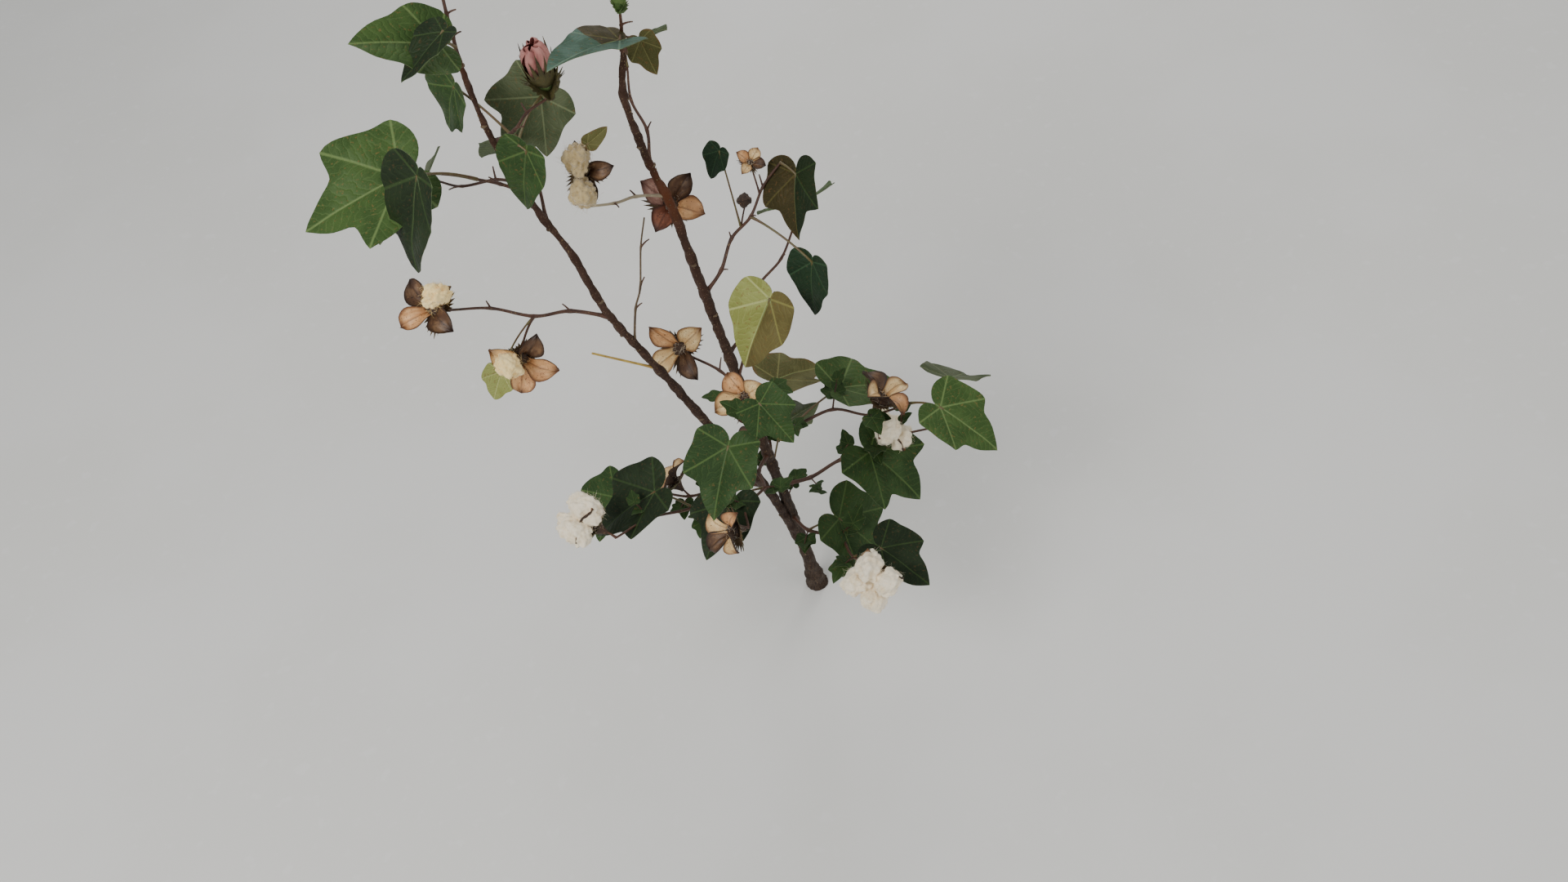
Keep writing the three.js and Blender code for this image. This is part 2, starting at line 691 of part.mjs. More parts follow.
function namedMesh(name, solid, material) {
  const { vertProperties, triVerts } = solid.getMesh();
  const geometry = new THREE.BufferGeometry();
  geometry.setAttribute('position', new THREE.BufferAttribute(new Float32Array(vertProperties), 3));
  geometry.setIndex(new THREE.BufferAttribute(new Uint32Array(triVerts), 1));
  geometry.computeVertexNormals();
  const mesh = new THREE.Mesh(geometry, material.clone());
  mesh.name = name;
  return mesh;
}

const plant = new THREE.Group();
const trunk = limbSolid(TRUNK).trimByPlane([0, 0, 1], 0);
const bough = wholeBody(limbSolid(BOUGH).subtract(limbSolid(TRUNK, CLEARANCE)));
const limbs = limbSolid(TRUNK, CLEARANCE).add(limbSolid(BOUGH, CLEARANCE));
const sprouts = SPRAYS.map((spray) => sprout(spray, limbs));
sprouts.forEach((one) => bear(one, sprouts.filter((other) => other !== one), limbs));
plant.add(namedMesh(TRUNK.name, trunk, BARK));
plant.add(namedMesh(BOUGH.name, bough, BARK));
sprouts.forEach((one) => plant.add(namedMesh(one.spray.name, one.solid, LEAFY)));

export default plant;
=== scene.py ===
# %% [markdown]
# # A cotton plant late in its season
# The plant has a woody main stem and one long left bough. Short sprays grow from both of them and
# bear leaves, open burs, lint, one furled flower and young buds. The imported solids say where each
# limb and each spray is. This lesson gives every one of them its finished surface, in its own
# place.
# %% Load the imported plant
import math

import bpy
from mathutils import Matrix, Vector, noise


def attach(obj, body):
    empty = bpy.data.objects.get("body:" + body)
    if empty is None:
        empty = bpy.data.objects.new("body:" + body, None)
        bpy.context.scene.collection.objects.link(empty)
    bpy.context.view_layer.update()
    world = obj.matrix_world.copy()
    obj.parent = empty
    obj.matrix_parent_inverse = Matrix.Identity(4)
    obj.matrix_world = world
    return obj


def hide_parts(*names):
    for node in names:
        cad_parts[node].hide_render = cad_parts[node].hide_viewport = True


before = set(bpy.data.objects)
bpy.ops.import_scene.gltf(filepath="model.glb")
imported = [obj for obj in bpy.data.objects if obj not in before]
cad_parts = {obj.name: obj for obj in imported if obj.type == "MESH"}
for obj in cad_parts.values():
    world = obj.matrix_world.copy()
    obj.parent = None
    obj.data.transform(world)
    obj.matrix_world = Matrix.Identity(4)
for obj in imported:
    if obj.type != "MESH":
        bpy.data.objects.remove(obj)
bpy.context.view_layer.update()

# %% [markdown]
# ## A repeatable stream of numbers
# A plant never repeats itself exactly, yet this one has to be the same each time it is made. So
# every spray owns a seed, and its turns, lengths and droops are drawn from that seed in a fixed
# order. The solids grew by the same stream, which is why the leaves here land where theirs do.
# %% Seeded numbers
WORD = 0xFFFFFFFF
SEED_STEP = 7919
STATE_STEP = 0x6D2B79F5


def seeded(seed):
    """A function that gives the next number from 0 to 1."""
    state = [(seed * SEED_STEP) & WORD]

    def following():
        state[0] = (state[0] + STATE_STEP) & WORD
        word = ((state[0] ^ (state[0] >> 15)) * (1 | state[0])) & WORD
        spread = ((word ^ (word >> 7)) * (61 | word)) & WORD
        word = ((word + spread) & WORD) ^ word
        return (word ^ (word >> 14)) / (WORD + 1)

    return following


def draw(random, least, most):
    return least + (most - least) * random()


first_draw = seeded(3)
print("the top spray's first draws", round(first_draw(), 4), round(first_draw(), 4))

# %% [markdown]
# ## Ways and frames
# A leaf or a fruit is placed by three things: where its stalk ends, the way it points, and the
# side that it turns to the light. A heading is read in the ground plane and a rise over it, as a
# gardener would say it. A frame then carries flat shapes from a worktop into the plant.
# %% Ways and frames
UP = Vector((0, 0, 1))
SUN = Vector((0, -0.62, 0.78))
ALONG_X = Vector((1, 0, 0))
ALONG_Y = Vector((0, 1, 0))


def pointing(heading, rise):
    across = math.cos(math.radians(rise))
    x = across * math.cos(math.radians(heading))
    y = across * math.sin(math.radians(heading))
    return Vector((x, y, math.sin(math.radians(rise))))


def frame_at(place, along, face, roll=0.0):
    """A frame whose X runs along a way and whose Z is turned to a face, then rolled about X."""
    x = along.normalized()
    z = Matrix.Rotation(math.radians(roll), 3, x) @ (face - x * face.dot(x)).normalized()
    basis = Matrix((x, z.cross(x), z)).transposed().to_4x4()
    basis.translation = place
    return basis


def mixed(a, b, share):
    return a + (b - a) * share


turned_leaf = frame_at(Vector(), pointing(-90, -30), SUN)
facing = turned_leaf.to_3x3() @ UP
print("a leaf that points down to the front faces", [round(v, 2) for v in facing])

# %% [markdown]
# ## The two limbs
# Both limbs are given by the few places that they pass through, and a smooth curve joins those.
# The main stem is 11 mm thick over its flared foot and thins to 4 mm at its tip. The bough leaves
# it near the ground, which is how a cotton plant makes its long low branches.
# %% Limb lines
LIMB_STEPS = 22
ROOT_FLARE = 0.0045
FLARE_HEIGHT = 0.022
TIP_SHARE = 0.9
LEVEL_SLACK = 0.001
TRUNK = {
    "name": "trunk",
    "foot": 0.0056,
    "tip": 0.0021,
    "places": [
        (0.001, 0, -0.015), (-0.003, 0, 0.065), (-0.012, 0.003, 0.19),
        (-0.021, 0.004, 0.312), (-0.029, 0.006, 0.432), (-0.034, 0.009, 0.51),
        (-0.042, 0.012, 0.567), (-0.045, 0.014, 0.619), (-0.036, 0.014, 0.658),
    ],
}
BOUGH = {
    "name": "bough_left",
    "foot": 0.0042,
    "tip": 0.0017,
    "places": [
        (-0.003, 0, 0.058), (-0.022, -0.005, 0.172), (-0.062, -0.012, 0.314),
        (-0.076, -0.018, 0.369), (-0.101, -0.025, 0.459), (-0.111, -0.025, 0.528),
        (-0.124, -0.022, 0.574), (-0.136, -0.015, 0.64), (-0.138, -0.009, 0.698),
    ],
}


def smooth_line(places, steps):
    """Points along a smooth curve through places, with each stretch between two of them alike."""
    stops = [2 * places[0] - places[1], *places, 2 * places[-1] - places[-2]]
    line = []
    for i in range(steps + 1):
        reach = (len(places) - 1) * i / steps
        k = min(int(reach), len(places) - 2)
        t = reach - k
        a, b, c, d = stops[k : k + 4]
        leave, arrive = (c - a) / 2, (d - b) / 2
        bend = 3 * (c - b) - 2 * leave - arrive
        line.append(b + leave * t + bend * t * t + (2 * (b - c) + leave + arrive) * t**3)
    return line


def limb_line(limb, steps=LIMB_STEPS):
    return smooth_line([Vector(place) for place in limb["places"]], steps)


for limb in (TRUNK, BOUGH):
    print(limb["name"], "bends at", len(limb["places"]), "places")

# %% [markdown]
# Everything else asks the limbs two things: how thick they are part of the way along, and where
# they are at a height. The stem widens into a flare at the ground, as it does above real roots.
# %% Points on a limb
def limb_radius(limb, share, height):
    flare = ROOT_FLARE * math.exp(-height / FLARE_HEIGHT) if limb is TRUNK else 0
    return mixed(limb["foot"], limb["tip"], share) + flare


def limb_point(limb, height):
    """The point on a limb's line at a height, or just short of its tip."""
    line = limb_line(limb)
    top = max(next(i for i, point in enumerate(line) if point.z >= height - LEVEL_SLACK), 1)
    share = (height - line[top - 1].z) / (line[top].z - line[top - 1].z)
    return line[top - 1].lerp(line[top], min(share, TIP_SHARE if top == LIMB_STEPS else 1))


for limb in (TRUNK, BOUGH):
    print(limb["name"], "ends at", [round(v, 3) for v in limb_line(limb)[-1]])

# %% [markdown]
# ## What each spray bears
# Every spray is one row of the table: the limb and the height it leaves from, where its tip is,
# how many stretches its zigzag has, its thickness, its seed, and what sits at its joints. A leaf
# or fruit with a place of its own is written out. One that is only named grows by the spray's
# rule, and None leaves a joint bare. A tone says which of the plant's greens a leaf wears.
# %% The spray table
def leaf(joint, heading, rise, length, **more):
    own = {"joint": Vector(joint), "heading": heading, "rise": rise, "length": length}
    return {"kind": "leaf", **own, **more}


def fruit(kind):
    def made(place, heading, rise, size, **more):
        own = {"place": Vector(place), "heading": heading, "rise": rise, "size": size}
        return {"kind": kind, **own, **more}

    return made


bur, boll, pod, flower = fruit("bur"), fruit("boll"), fruit("pod"), fruit("flower")
SPRAYS = [
    ("spray_top", TRUNK, 0.658, (-0.031, 0.009, 0.692), 3, (0.0019, 0.0011), 3, [
        # The near half of this folded leaf wears the blue tone, a painted sky reflection.
        leaf(
            (-0.036, -0.002, 0.677), -144, 26, 0.062,
            start=0.4, roll=50, lobing=0.1, tone="blue", far="brown", split=(-0.22, 0.72),
        ),
        leaf((-0.024, 0.024, 0.654), -74, -50, 0.025, start=0.3, roll=10, lobing=0.4, tone="olive"),
        pod((-0.031, 0.009, 0.692), 40, 70, 0.013),
    ]),
    ("spray_left_lint", TRUNK, 0.528, (-0.092, -0.03, 0.572), 3, (0.0015, 0.0011), 4, [
        boll(
            (-0.083, -0.03, 0.602), -100, 32, 0.046,
            turn=0, locks=2, arms=(0, 180, 270), linings=("dark",) * 3, lint="aged",
        ),
        leaf((-0.074, -0.038, 0.631), 5, 25, 0.017, roll=30, lobing=0, tone="olive"),
    ]),
    ("spray_upper_bur", TRUNK, 0.464, (-0.035, 0.038, 0.48), 1, (0.0016, 0.0014), 5, [
        bur(
            (-0.036, 0.042, 0.488), -85, 52, 0.056,
            turn=45, linings=("pink", "rusty", "tan", "dark"),
        ),
    ]),
    ("spray_right_upper", TRUNK, 0.423, (0.052, 0.038, 0.506), 5, (0.002, 0.0011), 6, [
        leaf((0.01, 0.052, 0.52), -164, -56, 0.026, start=0.5, roll=20, lobing=0.3, tone="teal"),
        bur((0.03, 0.044, 0.508), -80, 50, 0.026, start=0.75),
        pod((0.021, 0.038, 0.478), -120, 40, 0.015, start=0.5, dry=True),
        leaf(
            (0.061, 0.026, 0.502), -115, -43, 0.049,
            roll=44, lobing=0.7, tone="deep", far="brown",
        ),
        leaf((0.057, -0.02, 0.454), -137, -70, 0.05, start=0.6, roll=42, lobing=0.2, tone="teal"),
    ]),
    ("spray_right_leaf", TRUNK, 0.318, (0.024, -0.028, 0.44), 2, (0.0017, 0.0011), 7, [
        leaf(
            (0.019, -0.033, 0.44), -158, -53, 0.066,
            roll=20, lobing=0.2, tone="gold", far="bright",
        ),
    ]),
    ("spray_back_bur", TRUNK, 0.3, (-0.058, 0.062, 0.298), 2, (0.0019, 0.0013), 8, [
        bur(
            (-0.062, 0.066, 0.306), -110, 40, 0.062,
            turn=40, linings=("tan", "cream", "dark", "cream"),
        ),
    ]),
    ("spray_front_upper", TRUNK, 0.318, (-0.008, -0.098, 0.374), 4, (0.0019, 0.0011), 9, [
        None,
        "bur",
        leaf((-0.008, -0.112, 0.418), -58, -31, 0.038, lobing=0.6, tone="green"),
        "leaf",
    ]),
    ("spray_right_middle", TRUNK, 0.25, (0.112, -0.044, 0.29), 4, (0.0021, 0.0011), 10, [
        "leaf", None, "bur", "leaf",
    ]),
    ("spray_right_low", TRUNK, 0.165, (0.132, -0.022, 0.222), 5, (0.0023, 0.0011), 11, [
        None, "leaf", "boll", None, "leaf",
    ]),
    ("spray_front_low", TRUNK, 0.118, (0.058, -0.118, 0.176), 4, (0.0023, 0.0011), 12, [
        "leaf", None, "leaf", "boll",
    ]),
    ("spray_front_middle", TRUNK, 0.212, (-0.042, -0.118, 0.28), 4, (0.0022, 0.0011), 31, [
        None, "leaf", None, "bur",
    ]),
    ("spray_back_low", TRUNK, 0.105, (-0.016, 0.118, 0.124), 4, (0.0022, 0.0011), 14, [
        None, "leaf", "bur", "leaf",
    ]),
    ("spray_back_right", TRUNK, 0.35, (0.056, 0.092, 0.388), 4, (0.0019, 0.0011), 15, [
        None, leaf((0.066, 0.104, 0.398), 100, -40, 0.058, lobing=0.8, face=UP, tone="light"), None,
    ]),
    ("spray_back_upper", TRUNK, 0.56, (-0.04, 0.084, 0.59), 3, (0.0016, 0.001), 16, [
        leaf((-0.038, 0.104, 0.596), 85, -35, 0.054, lobing=0.8, face=UP, tone="green"),
    ]),
    ("spray_left_tip", BOUGH, 0.698, (-0.13, -0.005, 0.772), 4, (0.0016, 0.0011), 17, [
        leaf(
            (-0.141, -0.034, 0.73), -155, 36, 0.057,
            start=0.15, roll=15, lobing=0.2, tone="light",
        ),
        leaf(
            (-0.134, -0.047, 0.747), -150, -14, 0.039,
            start=0.35, roll=35, lobing=0.1, tone="deep",
        ),
        leaf((-0.12, 0.008, 0.764), 40, 10, 0.034, start=0.75, lobing=0.4, tone="light"),
        leaf((-0.14, 0.002, 0.776), 150, 20, 0.026, start=0.9, lobing=0.3, tone="green"),
        pod((-0.13, -0.005, 0.772), 20, 75, 0.014),
    ]),
    ("spray_left_fruiting", BOUGH, 0.456, (-0.203, -0.046, 0.524), 4, (0.0019, 0.0011), 18, [
        bur(
            (-0.21, -0.05, 0.532), -120, 50, 0.052,
            turn=50, linings=("dark", "tan", "dark", "cream"), tufts=(3,), lint="painted_sunlight",
        ),
        bur(
            (-0.172, -0.036, 0.452), -80, 10, 0.056,
            start=0.5, turn=50, linings=("cream", "tan", "tan", "dark"), tufts=(0,), lint="painted_sunlight",
        ),
        leaf((-0.19, -0.038, 0.442), -160, -56, 0.029, start=0.5, lobing=0.3, tone="bright"),
    ]),
    ("spray_left_leaves", BOUGH, 0.59, (-0.153, -0.027, 0.616), 2, (0.0016, 0.0012), 19, [
        leaf((-0.2045, -0.008, 0.619), -164, -2, 0.073, roll=19, lobing=0.8, tone="light"),
        leaf((-0.183, -0.054, 0.653), -164, -62, 0.08, roll=35, lobing=0, tone="deep"),
    ]),
    ("spray_left_front", BOUGH, 0.612, (-0.117, -0.038, 0.644), 1, (0.0013, 0.0011), 20, [
        leaf((-0.113, -0.042, 0.641), -174, -67, 0.052, roll=20, lobing=0.1, tone="green"),
    ]),
    ("spray_left_back", BOUGH, 0.56, (-0.126, 0.028, 0.594), 2, (0.0016, 0.0012), 21, [
        leaf((-0.159, 0.06, 0.629), 151, -59, 0.052, roll=20, lobing=0.4, tone="green"),
        leaf((-0.106, 0.08, 0.587), -166, -36, 0.052, lobing=0.9, tone="grey"),
        leaf((-0.134, 0.088, 0.548), 100, -48, 0.056, lobing=0.7, face=UP, tone="green"),
    ]),
    ("spray_left_flower", BOUGH, 0.633, (-0.096, 0.014, 0.634), 3, (0.0015, 0.0011), 22, [
        flower((-0.093, 0.018, 0.642), -90, 80, 0.042),
    ]),
    ("spray_left_bare", BOUGH, 0.418, (-0.054, -0.022, 0.541), 4, (0.0012, 0.0007), 23, []),
    ("spray_left_stalk", BOUGH, 0.381, (-0.122, -0.032, 0.43), 1, (0.0013, 0.001), 24, []),
    ("spray_left_low", BOUGH, 0.196, (-0.15, -0.086, 0.268), 4, (0.0021, 0.0011), 25, [
        None, "leaf", None, "boll",
    ]),
    ("spray_left_side", BOUGH, 0.182, (-0.156, 0.026, 0.17), 4, (0.0019, 0.0011), 28, [
        None, "bur", "leaf", None,
    ]),
    ("spray_left_far", BOUGH, 0.598, (-0.192, 0.042, 0.566), 3, (0.0016, 0.001), 27, [
        None, None, leaf((-0.212, 0.062, 0.546), 145, -50, 0.066, lobing=0.8, face=UP, tone="grey"),
    ]),
]
print(len(SPRAYS), "sprays")

# %% [markdown]
# ## The growing rule
# A fruiting branch of cotton is a zigzag: at each joint it bends away from the leaf and the fruit
# that it bears there. The rule strays to one side and the other in turn, then draws the stalk and
# the droop of whatever is only named. Its draws come in the same order as in the solids.
# %% The growing rule
TWIG_ZIGZAG = 0.07
NEARLY = 0.9
RULE = {
    "stray": (0.6, 1.2),
    "lift": (-0.4, 0.6),
    "side_turn": (40, 75),
    "leaf_stalk": (0.034, 0.052),
    "leaf_stalk_rise": (20, 50),
    "leaf_droop": (-45, -12),
    "leaf_turn": (-25, 25),
    "leaf_length": (0.048, 0.068),
    "lobing": (0.5, 1),
    "fruit_stalk": (0.01, 0.018),
    "fruit_rise": (25, 60),
    "bur_size": (0.046, 0.056),
}
GROWN_TONES = ("green", "light", "deep", "grey", "light", "olive")


def twig_line(limb, height, tip, internodes, random):
    start = limb_point(limb, height)
    along = tip - start
    upright = abs(along.z) > NEARLY * along.length
    sideways = along.cross(ALONG_X if upright else UP).normalized()
    stray = along.length * TWIG_ZIGZAG * 2 / internodes
    line = [start]
    for i in range(1, internodes):
        joint = start.lerp(tip, i / internodes)
        joint += sideways * (stray if i % 2 else -stray) * draw(random, *RULE["stray"])
        joint += UP * stray * draw(random, *RULE["lift"])
        line.append(joint)
    return [*line, tip]


print("a twig strays by", TWIG_ZIGZAG, "of its length at its joints")

# %% [markdown]
# A leaf or a fruit that is only named takes its stalk, its heading and its droop from the rule. A
# cotton leaf hangs lower at its tip than at its stalk, and a fruit stands up on a short stalk.
# %% What is only named
def grown(kind, line, joint, random):
    """A leaf or fruit that is only named, at a joint of its twig."""
    point = line[joint]
    along = point - line[joint - 1]
    turn = (1 if joint % 2 else -1) * draw(random, *RULE["side_turn"])
    heading = math.degrees(math.atan2(along.y, along.x)) + turn
    if kind == "leaf":
        stem = pointing(heading, draw(random, *RULE["leaf_stalk_rise"]))
        joined = point + stem * draw(random, *RULE["leaf_stalk"])
        turned = heading + draw(random, *RULE["leaf_turn"])
        droop = draw(random, *RULE["leaf_droop"])
        length = draw(random, *RULE["leaf_length"])
        return leaf(joined, turned, droop, length, face=UP, lobing=draw(random, *RULE["lobing"]))
    rise = draw(random, *RULE["fruit_rise"])
    place = point + pointing(heading, rise) * draw(random, *RULE["fruit_stalk"])
    return fruit(kind)(place, heading, rise, draw(random, *RULE["bur_size"]))


def point_on_twig(line, share):
    reach = share * (len(line) - 1)
    joint = min(int(reach), len(line) - 2)
    return line[joint].lerp(line[joint + 1], reach - joint)


print("a grown leaf is", *RULE["leaf_length"], "metres long")

# %% [markdown]
# Now the whole plant can be grown: each row gives its twig line and its organs, each with the point
# that its stalk starts from, its own seed and its tone. Everything that follows only dresses them.
# %% Growing the plant
def grow(row):
    """One spray's twig line and all that it bears, each with the point its stalk starts from."""
    name, limb, height, tip, internodes, radii, seed, bears = row
    random = seeded(seed)
    line = twig_line(limb, height, Vector(tip), internodes, random)
    organs = []
    for i, entry in enumerate(bears):
        if entry is None:
            continue
        named = isinstance(entry, str)
        organ = dict(grown(entry, line, i + 1, random) if named else entry)
        organ["root"] = line[i + 1] if named else point_on_twig(line, organ.get("start", 1))
        organ["spray"] = name
        organ["seed"] = seed * 10 + i
        organ.setdefault("tone", GROWN_TONES[(seed + i) % len(GROWN_TONES)])
        if organ["kind"] in ("bur", "boll"):
            organ["turn"] = organ["turn"] if "turn" in organ else draw(random, 0, 90)
        organs.append(organ)
    return {
        "name": name, "limb": limb, "line": line, "radii": radii, "seed": seed, "organs": organs,
    }


plant = [grow(row) for row in SPRAYS]
organs = [organ for spray in plant for organ in spray["organs"]]
for kind in ("leaf", "bur", "boll", "pod", "flower"):
    print(kind, sum(organ["kind"] == kind for organ in organs))

# %% [markdown]
# ## Gathering small things
# A plant has far too many small parts to keep each as an object, so those of one kind are
# gathered in a heap of corners and faces, and the heap becomes one mesh. Two shapes cover most of
# it: a tube along a line, for twigs, stalks, veins and fibres, and a thin plate between two grids
# of points, for blades, bracts and the valves of a bur. Every corner also stores its own place on
# the shape, so that a finish can follow it.
# %% The heap
class Heap:
    """The corners and faces of many closed shapes of one kind."""

    def __init__(self):
        self.corners, self.faces, self.finishes, self.marks, self.nodes = [], [], [], [], set()

    def add(self, shape, node_name=None, finish=0):
        corners, faces, finishes, marks = shape
        first = len(self.corners)
        self.corners.extend(corners)
        self.faces.extend(tuple(first + i for i in face) for face in faces)
        self.finishes.extend(finish + i for i in finishes)
        self.marks.extend(marks)
        if node_name:
            self.nodes.add(node_name)


def outward(corners, faces):
    """The faces of a closed shape, all turned the right way out."""
    centre = corners[0]
    volume = 0.0
    for face in faces:
        a, b = corners[face[0]] - centre, corners[face[1]] - centre
        for k in face[2:]:
            c = corners[k] - centre
            volume += a.dot(b.cross(c))
            b = c
    return faces if volume > 0 else [face[::-1] for face in faces]


print("a new heap has", len(Heap().corners), "corners")

# %% [markdown]
# A tube follows its line without twisting, because each ring takes over its side from the one
# before it. Its marks are the place round the tube and the length along it, counted in
# centimetres and drawn out four times, so that streaks stay long.
# %% Tubes
MARK_LENGTH = 0.01
MARK_SHARE = 0.25


def tube(points, radii, sides):
    """A tube along points, with a radius for each and flat ends."""
    corners, marks = [], []
    side = ALONG_X if abs((points[1] - points[0]).normalized().x) < NEARLY else ALONG_Y
    length = 0.0
    for i, point in enumerate(points):
        along = (points[min(i + 1, len(points) - 1)] - points[max(i - 1, 0)]).normalized()
        side = (side - along * side.dot(along)).normalized()
        other = along.cross(side)
        length += (point - points[i - 1]).length / MARK_LENGTH if i else 0
        for k in range(sides):
            across, up = math.cos(2 * math.pi * k / sides), math.sin(2 * math.pi * k / sides)
            corners.append(point + (side * across + other * up) * radii[i])
            marks.append((across, up, length * MARK_SHARE))
    faces = [tuple(range(sides))[::-1], tuple(range(len(corners) - sides, len(corners)))]
    for i in range(len(points) - 1):
        for k in range(sides):
            a, b = i * sides + k, i * sides + (k + 1) % sides
            faces.append((a, b, b + sides, a + sides))
    return corners, faces, [0] * len(faces), marks


print("a tube of two rings has", len(tube([Vector(), UP], [1, 1], 6)[1]), "faces")

# %% [markdown]
# A plate is closed by a rim between its two grids, so a leaf has a real thickness and both of its
# faces can have their own finish.
# %% Plates
def plate(upper, lower, marks, closed):
    """A thin plate between two grids of points. Its upper faces have finish 0 and the rest 1. In a
    closed one each row is a ring, and its first row is all one point."""
    rows, columns = len(upper), len(upper[0])
    corners = [point for row in [*upper, *lower] for point in row]
    under = rows * columns
    across = columns if closed else columns - 1
    top, rest = [], []
    for r in range(rows - 1):
        for c in range(across):
            a, b = r * columns + c, r * columns + (c + 1) % columns
            square = (a, a + columns, b + columns, b)
            top.append(square)
            rest.append(tuple(under + k for k in square[::-1]))
    last = (rows - 1) * columns
    rims = [(last + c, last + (c + 1) % columns) for c in range(across)]
    if not closed:
        rims += [(c + 1, c) for c in range(across)]
        rims += [(r * columns, (r + 1) * columns) for r in range(rows - 1)]
        rims += [((r + 2) * columns - 1, (r + 1) * columns - 1) for r in range(rows - 1)]
    rest += [(a, under + a, under + b, b) for a, b in rims]
    faces = outward(corners, top + rest)
    return corners, faces, [0] * len(top) + [1] * len(rest), marks + marks


square = [[Vector((x, y, 0)) for y in (0, 1)] for x in (0, 1)]
print("a plate of one square has", len(plate(square, square, [], closed=False)[1]), "faces")

# %% [markdown]
# A heap becomes a piece of the plant in one step: the mesh is made, its doubled corners are merged,
# it is smoothed except across sharp edges, and the solids it stands for are hidden. A piece with
# one finish alone wears it on every face.
# %% From heap to piece
SHARP = math.radians(50)
MERGED = 0.000004


def dress(piece, finishes, nodes):
    """Gives a finished mesh its materials and its place in the plant, and hides the solids it
    stands for.
    """
    for finish in finishes:
        piece.data.materials.append(finish)
    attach(piece, "root")
    if nodes:
        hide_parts(*sorted(nodes))
    print(piece.name, sum(len(face.vertices) - 2 for face in piece.data.polygons), "triangles")


def select_only(piece):
    bpy.ops.object.select_all(action="DESELECT")
    piece.select_set(True)
    bpy.context.view_layer.objects.active = piece


def make_piece(name, heap, *finishes, slot="foliage"):
    mesh = bpy.data.meshes.new(name)
    mesh.from_pydata(heap.corners, [], heap.faces)
    last = len(finishes) - 1
    mesh.polygons.foreach_set("material_index", [min(index, last) for index in heap.finishes])
    place = mesh.attributes.new("place", "FLOAT_VECTOR", "POINT")
    place.data.foreach_set("vector", [value for mark in heap.marks for value in mark])
    piece = bpy.data.objects.new(name, mesh)
    bpy.context.scene.collection.objects.link(piece)
    select_only(piece)
    bpy.ops.object.mode_set(mode="EDIT")
    bpy.ops.mesh.select_all(action="SELECT")
    bpy.ops.mesh.remove_doubles(threshold=MERGED)
    bpy.ops.object.mode_set(mode="OBJECT")
    bpy.ops.object.shade_smooth_by_angle(angle=SHARP)
    dress(piece, finishes, heap.nodes)


print("a heap's corners closer than", MERGED * 1000, "mm are merged")

# %% [markdown]
# ## How a finish is wired
# Each finish is a small net of nodes that ends in one Principled shader. A few helpers keep the
# nets short: they add a node, feed its sockets, and mix or step the values between them.
# Colours are written as a paint shop reads them, from 0 to 255, and turned into the light values
# that the shader works in.
# %% Helpers for finishes
MIX_SOCKETS = (0, 6, 7)


def paint(red, green, blue):
    return (*(((value / 255 + 0.055) / 1.055) ** 2.4 for value in (red, green, blue)), 1)


def connect(tree, socket, value):
    """Links a socket to another one, or sets it to a plain value."""
    if isinstance(value, bpy.types.NodeSocket):
        tree.links.new(value, socket)
    else:
        socket.default_value = value


def node(tree, kind, inputs=None, **settings):
    made = tree.nodes.new("ShaderNode" + kind)
    for name, value in settings.items():
        setattr(made, name, value)
    for name, value in (inputs or {}).items():
        connect(tree, made.inputs[name], value)
    return made


def sums(tree, operation, a, b=0.0):
    return node(tree, "Math", {0: a, 1: b}, operation=operation).outputs[0]


def stepped(tree, value, low, high, least=0.0, most=1.0):
    """A value brought softly from one range into another."""
    ends = {"Value": value, "From Min": low, "From Max": high, "To Min": least, "To Max": most}
    return node(tree, "MapRange", ends, interpolation_type="SMOOTHSTEP").outputs["Result"]


def blended(tree, share, first, second):
    mix = node(tree, "Mix", data_type="RGBA")
    for k, value in zip(MIX_SOCKETS, (share, first, second)):
        connect(tree, mix.inputs[k], value)
    return mix.outputs[2]


print("a mid green as light", [round(v, 3) for v in paint(80, 105, 60)])

# %% [markdown]
# A group is started with its named ways in and out, and a material with its shader, whose steady
# numbers are set on the shader itself. What changes over the surface is fed to it by name. A group
# is wired once and then placed in many nets, which is why one change to it reaches all of them.
# %% Groups and finishes
def start_group(name, inputs, outputs):
    tree = bpy.data.node_groups.new(name, "ShaderNodeTree")
    for way, sockets in (("INPUT", inputs), ("OUTPUT", outputs)):
        for title, kind in sockets.items():
            tree.interface.new_socket(title, in_out=way, socket_type="NodeSocket" + kind)
    return tree, tree.nodes.new("NodeGroupInput").outputs, tree.nodes.new("NodeGroupOutput").inputs


def start_finish(name, roughness, **shine):
    """A material with its shader, whose steady numbers are set on the shader itself."""
    material = bpy.data.materials.new(name)
    material.use_nodes = True
    tree = material.node_tree
    shader = tree.nodes["Principled BSDF"]
    shader.inputs["Roughness"].default_value = roughness
    for socket, value in shine.items():
        shader.inputs[socket.replace("_", " ")].default_value = value
    return material, tree, shader


def feed(tree, shader, **sockets):
    for socket, value in sockets.items():
        tree.links.new(value, shader.inputs[socket.replace("_", " ")])


def use(tree, group, inputs):
    """A group placed in a net with its ways in fed, as its ways out."""
    return node(tree, "Group", inputs, node_tree=group).outputs


def stored_place(tree):
    return node(tree, "Attribute", attribute_name="place").outputs["Vector"]


print("groups and finishes are started with", len(bpy.data.materials), "materials in the file")

